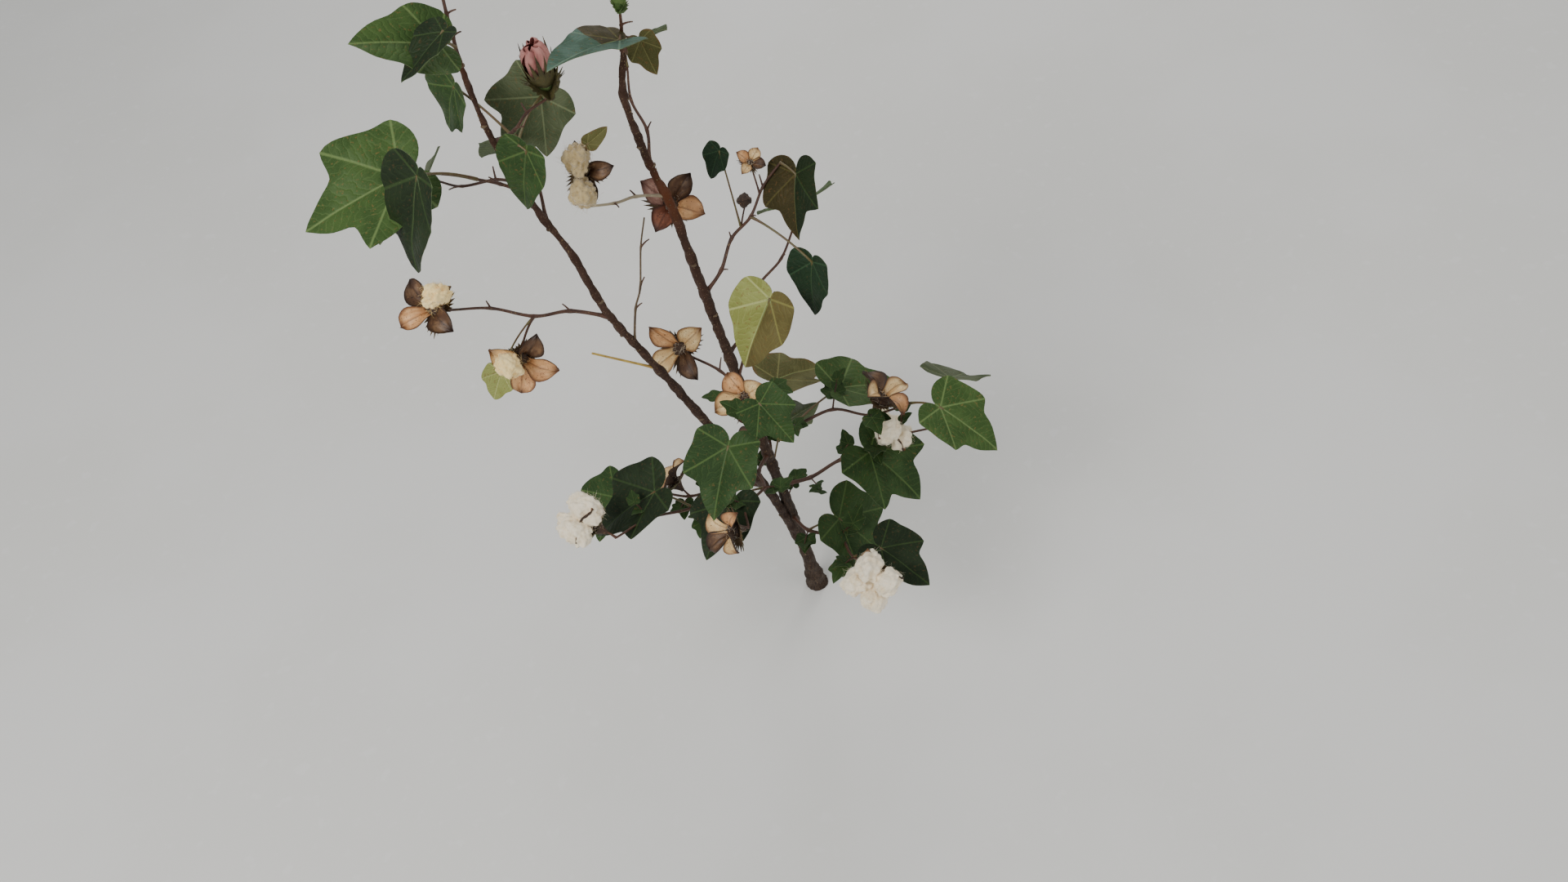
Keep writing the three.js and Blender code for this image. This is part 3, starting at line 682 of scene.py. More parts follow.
# %% [markdown]
# ## Blotches and flecks
# Nothing that grows is one colour. Leaves, husks and bark all have broad soft blotches with small
# flecks over them, at their own scales. That makes it one shared group: each finish places it with
# its own three colours, and leaves and bark also take its soft mask, to roughen the blotches a
# little.
# %% The blotch group
def make_blotches():
    ways_in = {"Blotches": "Float", "Flecks": "Float"}
    ways_in |= {"Ground": "Color", "Blotch": "Color", "Fleck": "Color"}
    tree, taken, given = start_group("blotches", ways_in, {"Colour": "Color", "Mask": "Float"})
    place = node(tree, "TexCoord").outputs["Object"]
    broad = node(tree, "TexNoise", {"Vector": place, "Scale": taken["Blotches"], "Detail": 4.0})
    small = node(tree, "TexNoise", {"Vector": place, "Scale": taken["Flecks"], "Detail": 2.0})
    mask = stepped(tree, broad.outputs["Fac"], 0.4, 0.62)
    fleck = stepped(tree, small.outputs["Fac"], 0.6, 0.72)
    ground = blended(tree, mask, taken["Ground"], taken["Blotch"])
    tree.links.new(blended(tree, fleck, ground, taken["Fleck"]), given["Colour"])
    tree.links.new(mask, given["Mask"])
    return tree


BLOTCHES = make_blotches()
print("the blotch group has", len(BLOTCHES.nodes), "nodes")

# %% [markdown]
# ## Fibres
# Bark, stalks, husks and lint are all made of fibres that run lengthwise. Noise that is drawn out
# along them gives both their streaks and their fine ridges. The group is handed the place to read,
# so a trunk can use its own height and a thin tube the length along itself.
# %% The fibre group
def make_fibres():
    ways_in = {"Place": "Vector", "Fineness": "Float"}
    ways_in |= {"Ground": "Color", "Streak": "Color", "Depth": "Float"}
    tree, taken, given = start_group("fibres", ways_in, {"Colour": "Color", "Normal": "Vector"})
    settings = {"Vector": taken["Place"], "Scale": taken["Fineness"]}
    settings |= {"Detail": 5.0, "Roughness": 0.62}
    streaks = node(tree, "TexNoise", settings).outputs["Fac"]
    mask = stepped(tree, streaks, 0.36, 0.66)
    bump = node(tree, "Bump", {"Height": streaks, "Distance": taken["Depth"], "Strength": 0.9})
    tree.links.new(blended(tree, mask, taken["Ground"], taken["Streak"]), given["Colour"])
    tree.links.new(bump.outputs["Normal"], given["Normal"])
    return tree


FIBRES = make_fibres()
print("the fibre group has", len(FIBRES.nodes), "nodes")


# %% [markdown]
# ## The veins of a blade
# A cotton leaf has one main vein for each lobe, and all of them start where the stalk joins. Side
# veins leave each of those in a herringbone and a fine net fills the rest, with the blade puffed up
# between them. Every blade stores its own flat place, so the group finds the nearest main vein from
# that and draws the rest from the distance along it and away from it.
# %% The vein group
VEIN_ANGLES = (0, 46, 108)
SIDE_VEINS = 11.0
SIDE_SLANT = 0.8
WOBBLE = 0.16
EDGE_WOBBLE = 0.3
VEIN_EDGES = {"main": (0.004, 0.02), "side": (0.02, 0.11), "net": (0.02, 0.12)}
PUFFED_TO = 0.34
PUFFED = {"pads": 0.5, "net": 0.4, "main": 0.4}


def share_along(tree, place, way):
    dot = node(tree, "VectorMath", {0: place, 1: way}, operation="DOT_PRODUCT")
    return dot.outputs["Value"]


def make_veins():
    ways_out = dict.fromkeys(("Main", "Side", "Net", "Edge", "Height"), "Float")
    tree, _, given = start_group("leaf_veins", {}, ways_out)
    place = stored_place(tree)
    split = node(tree, "SeparateXYZ", {0: place}).outputs
    half = sums(tree, "ABSOLUTE", split["Y"])
    flat = node(tree, "CombineXYZ", {0: split["X"], 1: half}).outputs[0]
    away, along = None, None
    for degrees in VEIN_ANGLES:
        way = (math.cos(math.radians(degrees)), math.sin(math.radians(degrees)), 0)
        aside = (-way[1], way[0], 0)
        off = sums(tree, "ABSOLUTE", share_along(tree, flat, aside))
        on = share_along(tree, flat, way)
        if away is None:
            away, along = off, on
            continue
        closer = sums(tree, "LESS_THAN", off, away)
        away = sums(tree, "MINIMUM", off, away)
        kept = sums(tree, "MULTIPLY", along, sums(tree, "SUBTRACT", 1.0, closer))
        along = sums(tree, "ADD", kept, sums(tree, "MULTIPLY", on, closer))
    slant = sums(tree, "SUBTRACT", along, sums(tree, "MULTIPLY", away, SIDE_SLANT))
    wobble = node(tree, "TexNoise", {"Vector": place, "Scale": 4.0, "Detail": 2.0}).outputs["Fac"]
    slant = sums(tree, "ADD", slant, sums(tree, "MULTIPLY", wobble, WOBBLE))
    ladder = sums(tree, "PINGPONG", sums(tree, "MULTIPLY", slant, SIDE_VEINS), 0.5)
    net = node(tree, "TexVoronoi", {"Vector": place, "Scale": 30.0}, feature="DISTANCE_TO_EDGE")
    net = net.outputs["Distance"]
    main = stepped(tree, away, *VEIN_EDGES["main"], 1.0, 0.0)
    side = stepped(tree, ladder, *VEIN_EDGES["side"], 1.0, 0.0)
    mesh = stepped(tree, net, *VEIN_EDGES["net"], 1.0, 0.0)
    pads = stepped(tree, ladder, 0.0, PUFFED_TO, 0.0, PUFFED["pads"])
    puffed = sums(tree, "ADD", pads, sums(tree, "MULTIPLY", net, PUFFED["net"]))
    height = sums(tree, "SUBTRACT", puffed, sums(tree, "MULTIPLY", main, PUFFED["main"]))
    edge = sums(tree, "ADD", split["Z"], sums(tree, "MULTIPLY", wobble, EDGE_WOBBLE))
    for title, value in zip(ways_out, (main, side, mesh, edge, height)):
        tree.links.new(value, given[title])
    return tree


VEINS = make_veins()
print("the vein group has", len(VEINS.nodes), "nodes")

# %% [markdown]
# ## The greens of the leaves
# The upper leaves go bluish with a painted sky reflection, the shaded ones are painted nearly black
# green as painted shade, and the old ones turn yellow or brown from the edge inwards. Each tone is
# a
# row of plain colours: the blade, its blotches, its veins and the colour its edge dries to, with
# how far in that reaches. The faces below are paler and more matt, because they are covered in fine
# hairs.
# %% Leaf finishes
LEAF_TONES = {
    "light": (paint(62, 86, 36), paint(50, 74, 30), paint(104, 124, 70), paint(98, 88, 42), 1.26),
    "green": (paint(46, 70, 28), paint(36, 58, 24), paint(80, 102, 52), paint(84, 74, 36), 1.28),
    # deep: painted shade, the nearly black green of a leaf in shadow
    "deep": (paint(28, 42, 16), paint(22, 34, 14), paint(50, 68, 32), paint(60, 50, 26), 1.28),
    "grey": (paint(80, 88, 58), paint(66, 76, 48), paint(112, 120, 84), paint(98, 84, 50), 1.24),
    # blue: a green with a painted sky reflection, the bluish sheen on a leaf's upper face
    "blue": (paint(68, 96, 80), paint(54, 78, 60), paint(106, 130, 108), paint(84, 80, 44), 1.22),
    "olive": (paint(90, 88, 46), paint(76, 74, 38), paint(122, 118, 70), paint(104, 80, 42), 1.16),
    "brown": (paint(62, 52, 20), paint(52, 46, 20), paint(88, 80, 40), paint(92, 66, 36), 1.2),
    "teal": (paint(26, 48, 26), paint(22, 42, 22), paint(52, 78, 50), paint(60, 60, 34), 1.28),
    "bright": (
        paint(142, 147, 80), paint(128, 132, 66), paint(176, 180, 116), paint(124, 104, 54), 1.24,
    ),
    "gold": (paint(100, 90, 48), paint(88, 78, 40), paint(134, 128, 70), paint(106, 84, 42), 1.24),
}


VEIN_SHOW = {"Net": 0.12, "Side": 0.22, "Main": 0.85}


def make_leaf_finish(name, ground, blotch, vein, dried, reach):
    material, tree, shader = start_finish("leaf_" + name, 0.7, Specular_IOR_Level=0.25)
    veins = use(tree, VEINS, {})
    shades = {"Blotches": 45.0, "Flecks": 420.0, "Ground": ground, "Blotch": blotch, "Fleck": dried}
    skin = use(tree, BLOTCHES, shades)
    lined = skin["Colour"]
    for kind, share in VEIN_SHOW.items():
        lined = blended(tree, sums(tree, "MULTIPLY", veins[kind], share), lined, vein)
    edge = stepped(tree, veins["Edge"], reach - 0.1, reach)
    colour = blended(tree, edge, lined, dried)
    bump = node(tree, "Bump", {"Height": veins["Height"], "Distance": 0.0008, "Strength": 0.6})
    feed(tree, shader, Base_Color=colour, Normal=bump.outputs["Normal"])
    feed(tree, shader, Roughness=stepped(tree, skin["Mask"], 0.0, 1.0, 0.6, 0.76))
    return material


def make_underside(name, ground, blotch, vein):
    material, tree, shader = start_finish(name, 0.8)
    veins = use(tree, VEINS, {})
    shades = {"Ground": ground, "Blotch": blotch, "Fleck": blotch}
    skin = use(tree, BLOTCHES, {"Blotches": 60.0, "Flecks": 600.0, **shades})
    lined = blended(tree, sums(tree, "MULTIPLY", veins["Side"], 0.5), skin["Colour"], vein)
    lined = blended(tree, veins["Main"], lined, vein)
    relief = {"Height": veins["Height"], "Distance": 0.001, "Strength": 0.7}
    bump = node(tree, "Bump", relief, invert=True)
    feed(tree, shader, Base_Color=lined, Normal=bump.outputs["Normal"])
    return material


LEAF_FINISHES = {name: make_leaf_finish(name, *shades) for name, shades in LEAF_TONES.items()}
UNDERSIDE = make_underside(
    "leaf_underside", paint(84, 98, 62), paint(70, 84, 52), paint(120, 132, 88)
)
print(len(LEAF_FINISHES), "leaf tones and one underside")

# %% [markdown]
# ## Bark, stalks and husks
# The main stem is dark red brown wood, streaked lengthwise, greyer at the foot and redder where
# it is young. Stalks stay smoother and greener. An open bur is dark and wrinkled outside but has
# a pale satin lining, and lint is a warm white that catches light in every fibre. All are the
# fibre group over different grounds. A row of bark holds the foot's two colours, the crest's, the
# flecks', and the heights of the top and of the red flush.
# %% Bark
FLUSH = paint(98, 50, 20)
FLUSH_REACH = 0.045
FLUSH_SHARE = 0.75
BARK_BLOTCH = 0.35
GRAIN_STRETCH = (1, 1, 0.1)


def make_bark(name, foot, crest, fleck, top, flush):
    """Bark that turns from the foot's two colours to the crest's by the height of the top, with a
    redder stretch round the height of the flush."""
    material, tree, shader = start_finish(name, 0.72, Specular_IOR_Level=0.3)
    place = node(tree, "TexCoord").outputs["Object"]
    long = node(tree, "Mapping", {"Vector": place, "Scale": GRAIN_STRETCH}).outputs["Vector"]
    height = node(tree, "SeparateXYZ", {0: place}).outputs["Z"]
    age = stepped(tree, height, 0.02, top)
    near = sums(tree, "ABSOLUTE", sums(tree, "SUBTRACT", height, flush))
    grain = {"Ground": foot[0], "Streak": foot[1], "Depth": 0.0006}
    low = use(tree, FIBRES, {"Place": long, "Fineness": 900.0, **grain})
    high = blended(tree, age, low["Colour"], crest)
    shades = {"Blotches": 90.0, "Flecks": 900.0, "Ground": high, "Blotch": high, "Fleck": fleck}
    skin = use(tree, BLOTCHES, shades)
    worn = sums(tree, "MULTIPLY", skin["Mask"], BARK_BLOTCH)
    colour = blended(tree, worn, skin["Colour"], foot[1])
    red = stepped(tree, near, 0.0, FLUSH_REACH, FLUSH_SHARE, 0.0)
    colour = blended(tree, red, colour, FLUSH)
    feed(tree, shader, Base_Color=colour, Normal=low["Normal"])
    feed(tree, shader, Roughness=stepped(tree, skin["Mask"], 0.0, 1.0, 0.62, 0.85))
    return material


BARK_COLOURS = {
    "old": (
        (paint(72, 56, 44), paint(40, 28, 20)), paint(62, 38, 26), paint(118, 96, 72), 0.5, 0.53,
    ),
    "young": (
        (paint(70, 50, 38), paint(40, 26, 20)), paint(64, 40, 28), paint(122, 98, 72), 0.6, 0.72,
    ),
}
BARKS = {name: make_bark("bark_" + name, *row) for name, row in BARK_COLOURS.items()}
print(len(BARKS), "kinds of bark")

# %% [markdown]
# Everything else that is fibrous reads the place stored on its own tube or plate, so the streaks
# run along a stalk whichever way it points. Each row gives the ground, the streaks and the flecks,
# then how fine the fibres are, how deep they lie and how rough the whole is.
# %% Fibrous finishes
def make_fibrous(name, ground, streak, fleck, fineness, depth, roughness, **shine):
    """A finish whose fibres follow the stored place of each tube or valve."""
    material, tree, shader = start_finish(name, roughness, **shine)
    place = stored_place(tree)
    grain = {"Ground": ground, "Streak": streak, "Depth": depth}
    strands = use(tree, FIBRES, {"Place": place, "Fineness": fineness, **grain})
    shades = {"Ground": strands["Colour"], "Blotch": ground, "Fleck": fleck}
    skin = use(tree, BLOTCHES, {"Blotches": 110.0, "Flecks": 700.0, **shades})
    feed(tree, shader, Base_Color=skin["Colour"], Normal=strands["Normal"])
    return material


STALK_COLOURS = {
    "red": (paint(82, 50, 34), paint(54, 32, 24), paint(120, 96, 66), 2.2, 0.0003, 0.6),
    "pale": (paint(158, 144, 118), paint(122, 106, 82), paint(176, 164, 140), 2.6, 0.0003, 0.8),
    "dry": (paint(96, 78, 56), paint(62, 46, 32), paint(142, 122, 92), 2.6, 0.0004, 0.8),
    "yellow": (paint(196, 164, 78), paint(150, 112, 52), paint(110, 76, 40), 2.2, 0.0003, 0.6),
    "leaf": (paint(96, 86, 46), paint(92, 52, 36), paint(70, 40, 30), 2.0, 0.0002, 0.5),
}
VEIN_COLOURS = {
    "pale": (paint(112, 130, 76), paint(90, 110, 58), paint(128, 116, 70), 2.0, 0.0001, 0.6),
    "dark": (paint(62, 82, 40), paint(48, 66, 32), paint(86, 80, 44), 2.0, 0.0001, 0.6),
}
BRACT_COLOURS = {
    "green": (paint(86, 108, 54), paint(62, 80, 40), paint(120, 110, 62), 3.0, 0.0004, 0.65),
    "olive": (paint(82, 76, 38), paint(54, 46, 26), paint(110, 84, 48), 3.0, 0.0005, 0.7),
    "dry": (paint(112, 88, 58), paint(74, 54, 36), paint(150, 126, 90), 3.0, 0.0006, 0.8),
}
LINT_COLOURS = {
    "fresh": (paint(252, 238, 210), paint(240, 222, 188), paint(234, 212, 174), 3.0, 0.0003, 0.95),
    # painted_sunlight: lint painted yellow with warm sunlight, a painted highlight
    "painted_sunlight": (paint(255, 227, 160), paint(251, 214, 142), paint(247, 208, 136), 3.0, 0.0003, 0.95),
    "aged": (paint(184, 162, 116), paint(164, 140, 94), paint(150, 124, 84), 3.0, 0.0003, 0.95),
}


def finish_set(kind, rows, **shine):
    return {name: make_fibrous(kind + "_" + name, *row, **shine) for name, row in rows.items()}


STALKS = finish_set("stalk", STALK_COLOURS)
VEIN_RIDGES = finish_set("vein", VEIN_COLOURS)
BRACTS = finish_set("bract", BRACT_COLOURS)
LINTS = finish_set("lint", LINT_COLOURS, Sheen_Weight=0.5)
HUSK = make_fibrous(
    "bur_outside", paint(70, 50, 36), paint(38, 26, 20), paint(120, 92, 62), 3.2, 0.0009, 0.78
)
PETAL = make_fibrous(
    "petal", paint(202, 138, 128), paint(168, 102, 96), paint(182, 114, 106), 4.0, 0.0004, 0.6
)
print(len(bpy.data.materials), "finishes so far")

# %% [markdown]
# ## The lining of a bur
# The inside of each valve is smooth and pale in the middle, and turns brown along its edges,
# towards its hard point and on the stump of the partition. The stored place runs across the valve
# and along it, which is all that those bands need. Each band is a row: the way it is measured,
# where it begins and ends, and how strong it is at those two. On one plant the linings range from
# cream to rust, and the dark lining is painted shade, for valves painted as if they lay in shadow.
# %% Linings
LININGS = {
    "cream": (paint(240, 212, 158), paint(220, 182, 126), paint(122, 82, 50)),
    "tan": (paint(228, 180, 126), paint(200, 146, 96), paint(104, 66, 42)),
    # dark: painted shade, a lining darkened as if the valve lay in shadow
    "dark": (paint(122, 92, 64), paint(84, 58, 40), paint(46, 30, 22)),
    "rusty": (paint(150, 92, 66), paint(114, 64, 44), paint(66, 38, 28)),
    "pink": (paint(176, 140, 122), paint(140, 100, 86), paint(84, 52, 42)),
}


LINING_BANDS = {
    "edges": ("across", 0.72, 1.0, 0.0, 1.0),
    "point": ("along", 0.56, 0.78, 0.0, 1.0),
    "partition": ("across", 0.03, 0.11, 0.55, 0.0),
    "root": ("along", 0.02, 0.3, 0.8, 0.0),
}


def make_lining(name, ground, streak, edge):
    material, tree, shader = start_finish("lining_" + name, 0.5, Specular_IOR_Level=0.4)
    place = stored_place(tree)
    split = node(tree, "SeparateXYZ", {0: place}).outputs
    grain = {"Ground": ground, "Streak": streak, "Depth": 0.0005}
    strands = use(tree, FIBRES, {"Place": place, "Fineness": 3.0, **grain})
    shades = {"Ground": strands["Colour"], "Blotch": streak, "Fleck": edge}
    skin = use(tree, BLOTCHES, {"Blotches": 130.0, "Flecks": 800.0, **shades})
    ways = {"across": sums(tree, "ABSOLUTE", split["X"]), "along": split["Z"]}
    rim, *bands = [stepped(tree, ways[way], *ends) for way, *ends in LINING_BANDS.values()]
    for band in bands:
        rim = sums(tree, "MAXIMUM", rim, band)
    colour = blended(tree, rim, skin["Colour"], edge)
    feed(tree, shader, Base_Color=colour, Normal=strands["Normal"])
    return material


LINING_FINISHES = [make_lining(name, *shades) for name, shades in LININGS.items()]
print(len(LINING_FINISHES), "linings")

# %% [markdown]
# ## The main stem and the long bough
# On the plant these are round and woody, a little thicker at every joint, with fine lengthwise
# ridges. Each one starts as a circle that is extruded into a straight column and scaled row by row.
# While it is straight it is easy to crease: squashed to a sixth of its height, roughened, and drawn
# out again, its ridges run lengthwise. Then a curve modifier lays it along the limb's line.
# %% Limb columns
LIMB_ROW = 0.0032
LIMB_SIDES = 22
JOINT_SWELL = 0.15
JOINT_LENGTH = 0.0045
OLD_JOINTS = {"first": 0.035, "gap": 0.043, "clear": 0.016}
TIP_CAP = ((0.0009, 0.8), (0.0014, 0.45))
SQUASHED = 0.16
RIDGES = {"scale": 0.0022, "strength": 0.0011}
LUMPS = {"scale": 0.012, "strength": 0.0026}
LINE_STEPS = 110


def lengths_along(line):
    lengths = [0.0]
    for a, b in zip(line, line[1:]):
        lengths.append(lengths[-1] + (b - a).length)
    return lengths


def joint_heights(limb):
    """The heights at which a limb is thickened: where sprays leave it, and its old leaf joints."""
    own = [row[2] for row in SPRAYS if row[1] is limb]
    foot, crest = limb["places"][0][2], limb["places"][-1][2]
    first, gap, clear = OLD_JOINTS.values()
    spare = [foot + first + gap * i for i in range(int((crest - foot) / gap))]
    return own + [height for height in spare if min(abs(height - other) for other in own) > clear]


def limb_rows(limb):
    """The height above the column's foot and the radius, for each row of the column."""
    line = limb_line(limb, LINE_STEPS)
    lengths = lengths_along(line)
    joints = []
    for z in joint_heights(limb):
        joints.append(lengths[min(range(len(line)), key=lambda i: abs(line[i].z - z))])
    rows = []
    count = round(lengths[-1] / LIMB_ROW)
    for i in range(count + 1):
        along = lengths[-1] * i / count
        k = max(j for j in range(LINE_STEPS) if lengths[j] <= along + MERGED)
        share = (k + (along - lengths[k]) / (lengths[k + 1] - lengths[k])) / LINE_STEPS
        swell = max(math.exp(-(((along - joint) / JOINT_LENGTH) ** 2)) for joint in joints)
        radius = limb_radius(limb, share, line[k].z) * (1 + JOINT_SWELL * swell)
        rows.append((along, radius))
    return rows + [(rows[-1][0] + past, rows[-1][1] * share) for past, share in TIP_CAP]


# %% [markdown]
# The column is raised straight up from its circle, one extrusion for each row, and each new ring is
# scaled about its own middle. Creasing works by a squash, a displacement and a stretch back.
# %% Straight columns
def straight_column(name, rows):
    bpy.ops.object.select_all(action="DESELECT")
    bpy.ops.mesh.primitive_circle_add(vertices=LIMB_SIDES, radius=rows[0][1], fill_type="NGON")
    column = bpy.context.object
    column.name = name
    bpy.ops.object.mode_set(mode="EDIT")
    for (low, before), (high, after) in zip(rows, rows[1:]):
        bpy.ops.mesh.extrude_region_move(TRANSFORM_OT_translate={"value": (0, 0, high - low)})
        size = after / before
        bpy.ops.transform.resize(value=(size, size, 1), center_override=(0, 0, high))
    bpy.ops.mesh.select_all(action="SELECT")
    bpy.ops.mesh.normals_make_consistent(inside=False)
    bpy.ops.object.mode_set(mode="OBJECT")
    return column


def stretch(height):
    """Stretches the active piece from its foot up."""
    bpy.ops.object.mode_set(mode="EDIT")
    bpy.ops.mesh.select_all(action="SELECT")
    bpy.ops.transform.resize(value=(1, 1, height), center_override=(0, 0, 0))
    bpy.ops.object.mode_set(mode="OBJECT")


def apply(piece, kind, **settings):
    modifier = piece.modifiers.new(kind.title(), kind)
    for name, value in settings.items():
        setattr(modifier, name, value)
    bpy.ops.object.modifier_apply(modifier=modifier.name)


def roughen(piece, name, relief):
    texture = bpy.data.textures.new(name, "CLOUDS")
    texture.noise_scale = relief["scale"]
    texture.noise_depth = 2
    apply(piece, "DISPLACE", texture=texture, strength=relief["strength"], mid_level=0.5)


for limb in (TRUNK, BOUGH):
    rows = limb_rows(limb)
    print(limb["name"], "has", len(rows), "rows and ends", round(rows[-1][1] * 1000, 1), "mm thick")

# %% [markdown]
# The curve is only a guide for the modifier, so it is taken away again once the column has been
# laid along it. The stem's line starts a little underground, which lets the flared foot be cut
# off clean and level at the soil.
# %% Limbs laid along their lines
def guide(line):
    curve = bpy.data.curves.new("limb_guide", "CURVE")
    curve.dimensions = "3D"
    spline = curve.splines.new("POLY")
    spline.points.add(len(line) - 1)
    for point, place in zip(spline.points, line):
        point.co = (*place, 1)
    made = bpy.data.objects.new("limb_guide", curve)
    bpy.context.scene.collection.objects.link(made)
    return made


def make_limb(limb, bark):
    piece = straight_column(limb["name"] + "_bark", limb_rows(limb))
    apply(piece, "SUBSURF", subdivision_type="SIMPLE", levels=1, render_levels=1)
    roughen(piece, "bark_lumps", LUMPS)
    stretch(SQUASHED)
    roughen(piece, "bark_ridges", RIDGES)
    stretch(1 / SQUASHED)
    line = guide(limb_line(limb, LINE_STEPS))
    apply(piece, "CURVE", object=line, deform_axis="POS_Z")
    bpy.data.objects.remove(line)
    bpy.ops.object.mode_set(mode="EDIT")
    bpy.ops.mesh.select_all(action="SELECT")
    if limb is TRUNK:
        bpy.ops.mesh.bisect(plane_co=(0, 0, 0), plane_no=(0, 0, 1), use_fill=True, clear_inner=True)
        bpy.ops.mesh.select_all(action="SELECT")
    bpy.ops.mesh.normals_make_consistent(inside=False)
    bpy.ops.object.mode_set(mode="OBJECT")
    bpy.ops.object.shade_smooth_by_angle(angle=SHARP)
    dress(piece, [bark], {limb["name"]})


make_limb(TRUNK, BARKS["old"])
make_limb(BOUGH, BARKS["young"])

# %% [markdown]
# ## Scars and specks on the bark
# Where an old leaf has dropped it leaves a raised scar, and cotton bark is dotted with small pale
# breathing pores and dark glands. They are tiny domes, so two rings of corners and a crown point
# are enough for each, and all those of one kind make one joined mesh.
# %% Scars and specks
SPECKS_PER_LIMB = 420
SCAR_SIZE = (0.0028, 0.0016, 0.0012)
SPECK_SIZE = (0.0004, 0.0007, 0.00035)
SPECK_SHARES = (0.6, 1.3)
SPECK_SEED = 41
SCAR_DROP = 0.004
SCAR_TURN = 137.5
SCARS_ABOVE = 0.02
SPECKS_ABOVE = 0.01
DOME_SIDES = 6
DOME_RINGS = ((0.7, 0.55), (1.0, -1.2))


def dome(place, out, up, size):
    """A small raised dome on a surface: its half width, half height and how far it stands out."""
    across = up.cross(out).normalized()
    rise = out.cross(across)
    corners, marks = [place + out * size[2]], [(0, 0, 0)]
    for ring, (spread, sunk) in enumerate(DOME_RINGS):
        for k in range(DOME_SIDES):
            angle = 2 * math.pi * k / DOME_SIDES
            aside = across * math.cos(angle) * size[0] + rise * math.sin(angle) * size[1]
            corners.append(place + aside * spread + out * size[2] * sunk)
            marks.append((math.cos(angle), math.sin(angle), ring))
    first, second = range(1, DOME_SIDES + 1), range(DOME_SIDES + 1, 2 * DOME_SIDES + 1)
    faces = [tuple(second)[::-1]]
    for k in range(DOME_SIDES):
        after = (k + 1) % DOME_SIDES
        faces += [(0, first[k], first[after]), (first[k], second[k], second[after], first[after])]
    return corners, outward(corners, faces), [0] * len(faces), marks


def on_bark(limb, height, angle):
    """A place on a limb's bark, with the way out of it and the way along the limb."""
    line = limb_line(limb, LINE_STEPS)
    k = min(range(LINE_STEPS), key=lambda i: abs(line[i].z - height))
    along = (line[k + 1] - line[k]).normalized()
    out = frame_at(line[k], along, pointing(angle, 0)).to_3x3() @ UP
    return line[k] + out * limb_radius(limb, k / LINE_STEPS, line[k].z), out, along


def make_bark_marks():
    scars, specks = Heap(), Heap()
    random = seeded(SPECK_SEED)
    for limb in (TRUNK, BOUGH):
        foot, crest = max(limb["places"][0][2], SPECKS_ABOVE), limb["places"][-1][2]
        for i, height in enumerate(joint_heights(limb)):
            if height > foot + SCARS_ABOVE:
                place, out, along = on_bark(limb, height - SCAR_DROP, SCAR_TURN * i)
                scars.add(dome(place, out, along, SCAR_SIZE))
        for _ in range(SPECKS_PER_LIMB):
            place, out, along = on_bark(limb, draw(random, foot, crest), draw(random, 0, 360))
            size = draw(random, *SPECK_SHARES)
            specks.add(dome(place, out, along, [size * side for side in SPECK_SIZE]))
    make_piece("leaf_scars", scars, STALKS["dry"], slot="stem")
    make_piece("bark_specks", specks, BRACTS["dry"], slot="stem")


make_bark_marks()

# %% [markdown]
# ## Twigs
# A fruiting twig is thickest where it leaves the limb, with a collar round its base, and it
# swells at every joint. Its zigzag is gentle, so the joints are rounded by the same smooth curve
# as the limbs. Three of the twigs differ from the rest: one has lost its bark and is yellow, a
# thin bare one is dry, and the one that bears the aged boll has weathered pale.
# %% Twigs
TWIG_SIDES = 8
TWIG_STEPS = 8
TWIG_SLIM = 0.82
TWIG_JOINT = 0.32
TWIG_JOINT_LENGTH = 0.09
COLLAR = 0.7
COLLAR_LENGTH = 0.006
TWIG_FINISH = {"spray_left_stalk": "yellow", "spray_left_bare": "dry", "spray_left_lint": "pale"}


def twig_shape(spray):
    steps = TWIG_STEPS * (len(spray["line"]) - 1)
    points = smooth_line(spray["line"], steps)
    lengths = lengths_along(points)
    thick, thin = spray["radii"]
    radii = []
    for i, along in enumerate(lengths):
        past = (i % TWIG_STEPS) / TWIG_STEPS
        joint = 0 if i in (0, steps) else TWIG_JOINT
        joint *= math.exp(-((min(past, 1 - past) / TWIG_JOINT_LENGTH) ** 2))
        collar = COLLAR * math.exp(-((along / COLLAR_LENGTH) ** 2))
        radii.append(TWIG_SLIM * mixed(thick, thin, i / steps) * (1 + joint + collar))
    return tube(points, radii, TWIG_SIDES)


twig_heaps = {name: Heap() for name in ("red", "yellow", "dry", "pale")}
for spray in plant:
    twig_heaps[TWIG_FINISH.get(spray["name"], "red")].add(twig_shape(spray), spray["name"])
for name, heap in twig_heaps.items():
    make_piece("twigs_" + name, heap, STALKS[name], slot="stem")

# %% [markdown]
# ## Stalks
# Every leaf and fruit hangs on a stalk that bows up a little between its twig and itself, thickened
# at both ends like a drumstick. One curve through three points gives it, and it runs on into the
# leaf or the fruit, so that nothing looks glued on.
# %% Stalks
STALK_SIDES = 7
STALK_STEPS = 9
STALK_BOW = 0.14
STALK_RADIUS = 0.00095
STALK_SWELL = 0.45
STALK_SWELL_STEPS = (1.1, 1.2)
STALK_TAPER = (1.05, 0.85)
STALK_END = 0.5
SMALL_ORGAN = 0.03
SMALL_STALK = 0.75
STALK_SUNK = 0.06
FRUIT_SUNK = 0.003


def bowed(start, end, steps):
    middle = start.lerp(end, 0.5) + UP * STALK_BOW * (end - start).length
    shares = [i / steps for i in range(steps + 1)]
    return [start.lerp(middle, share).lerp(middle.lerp(end, share), share) for share in shares]


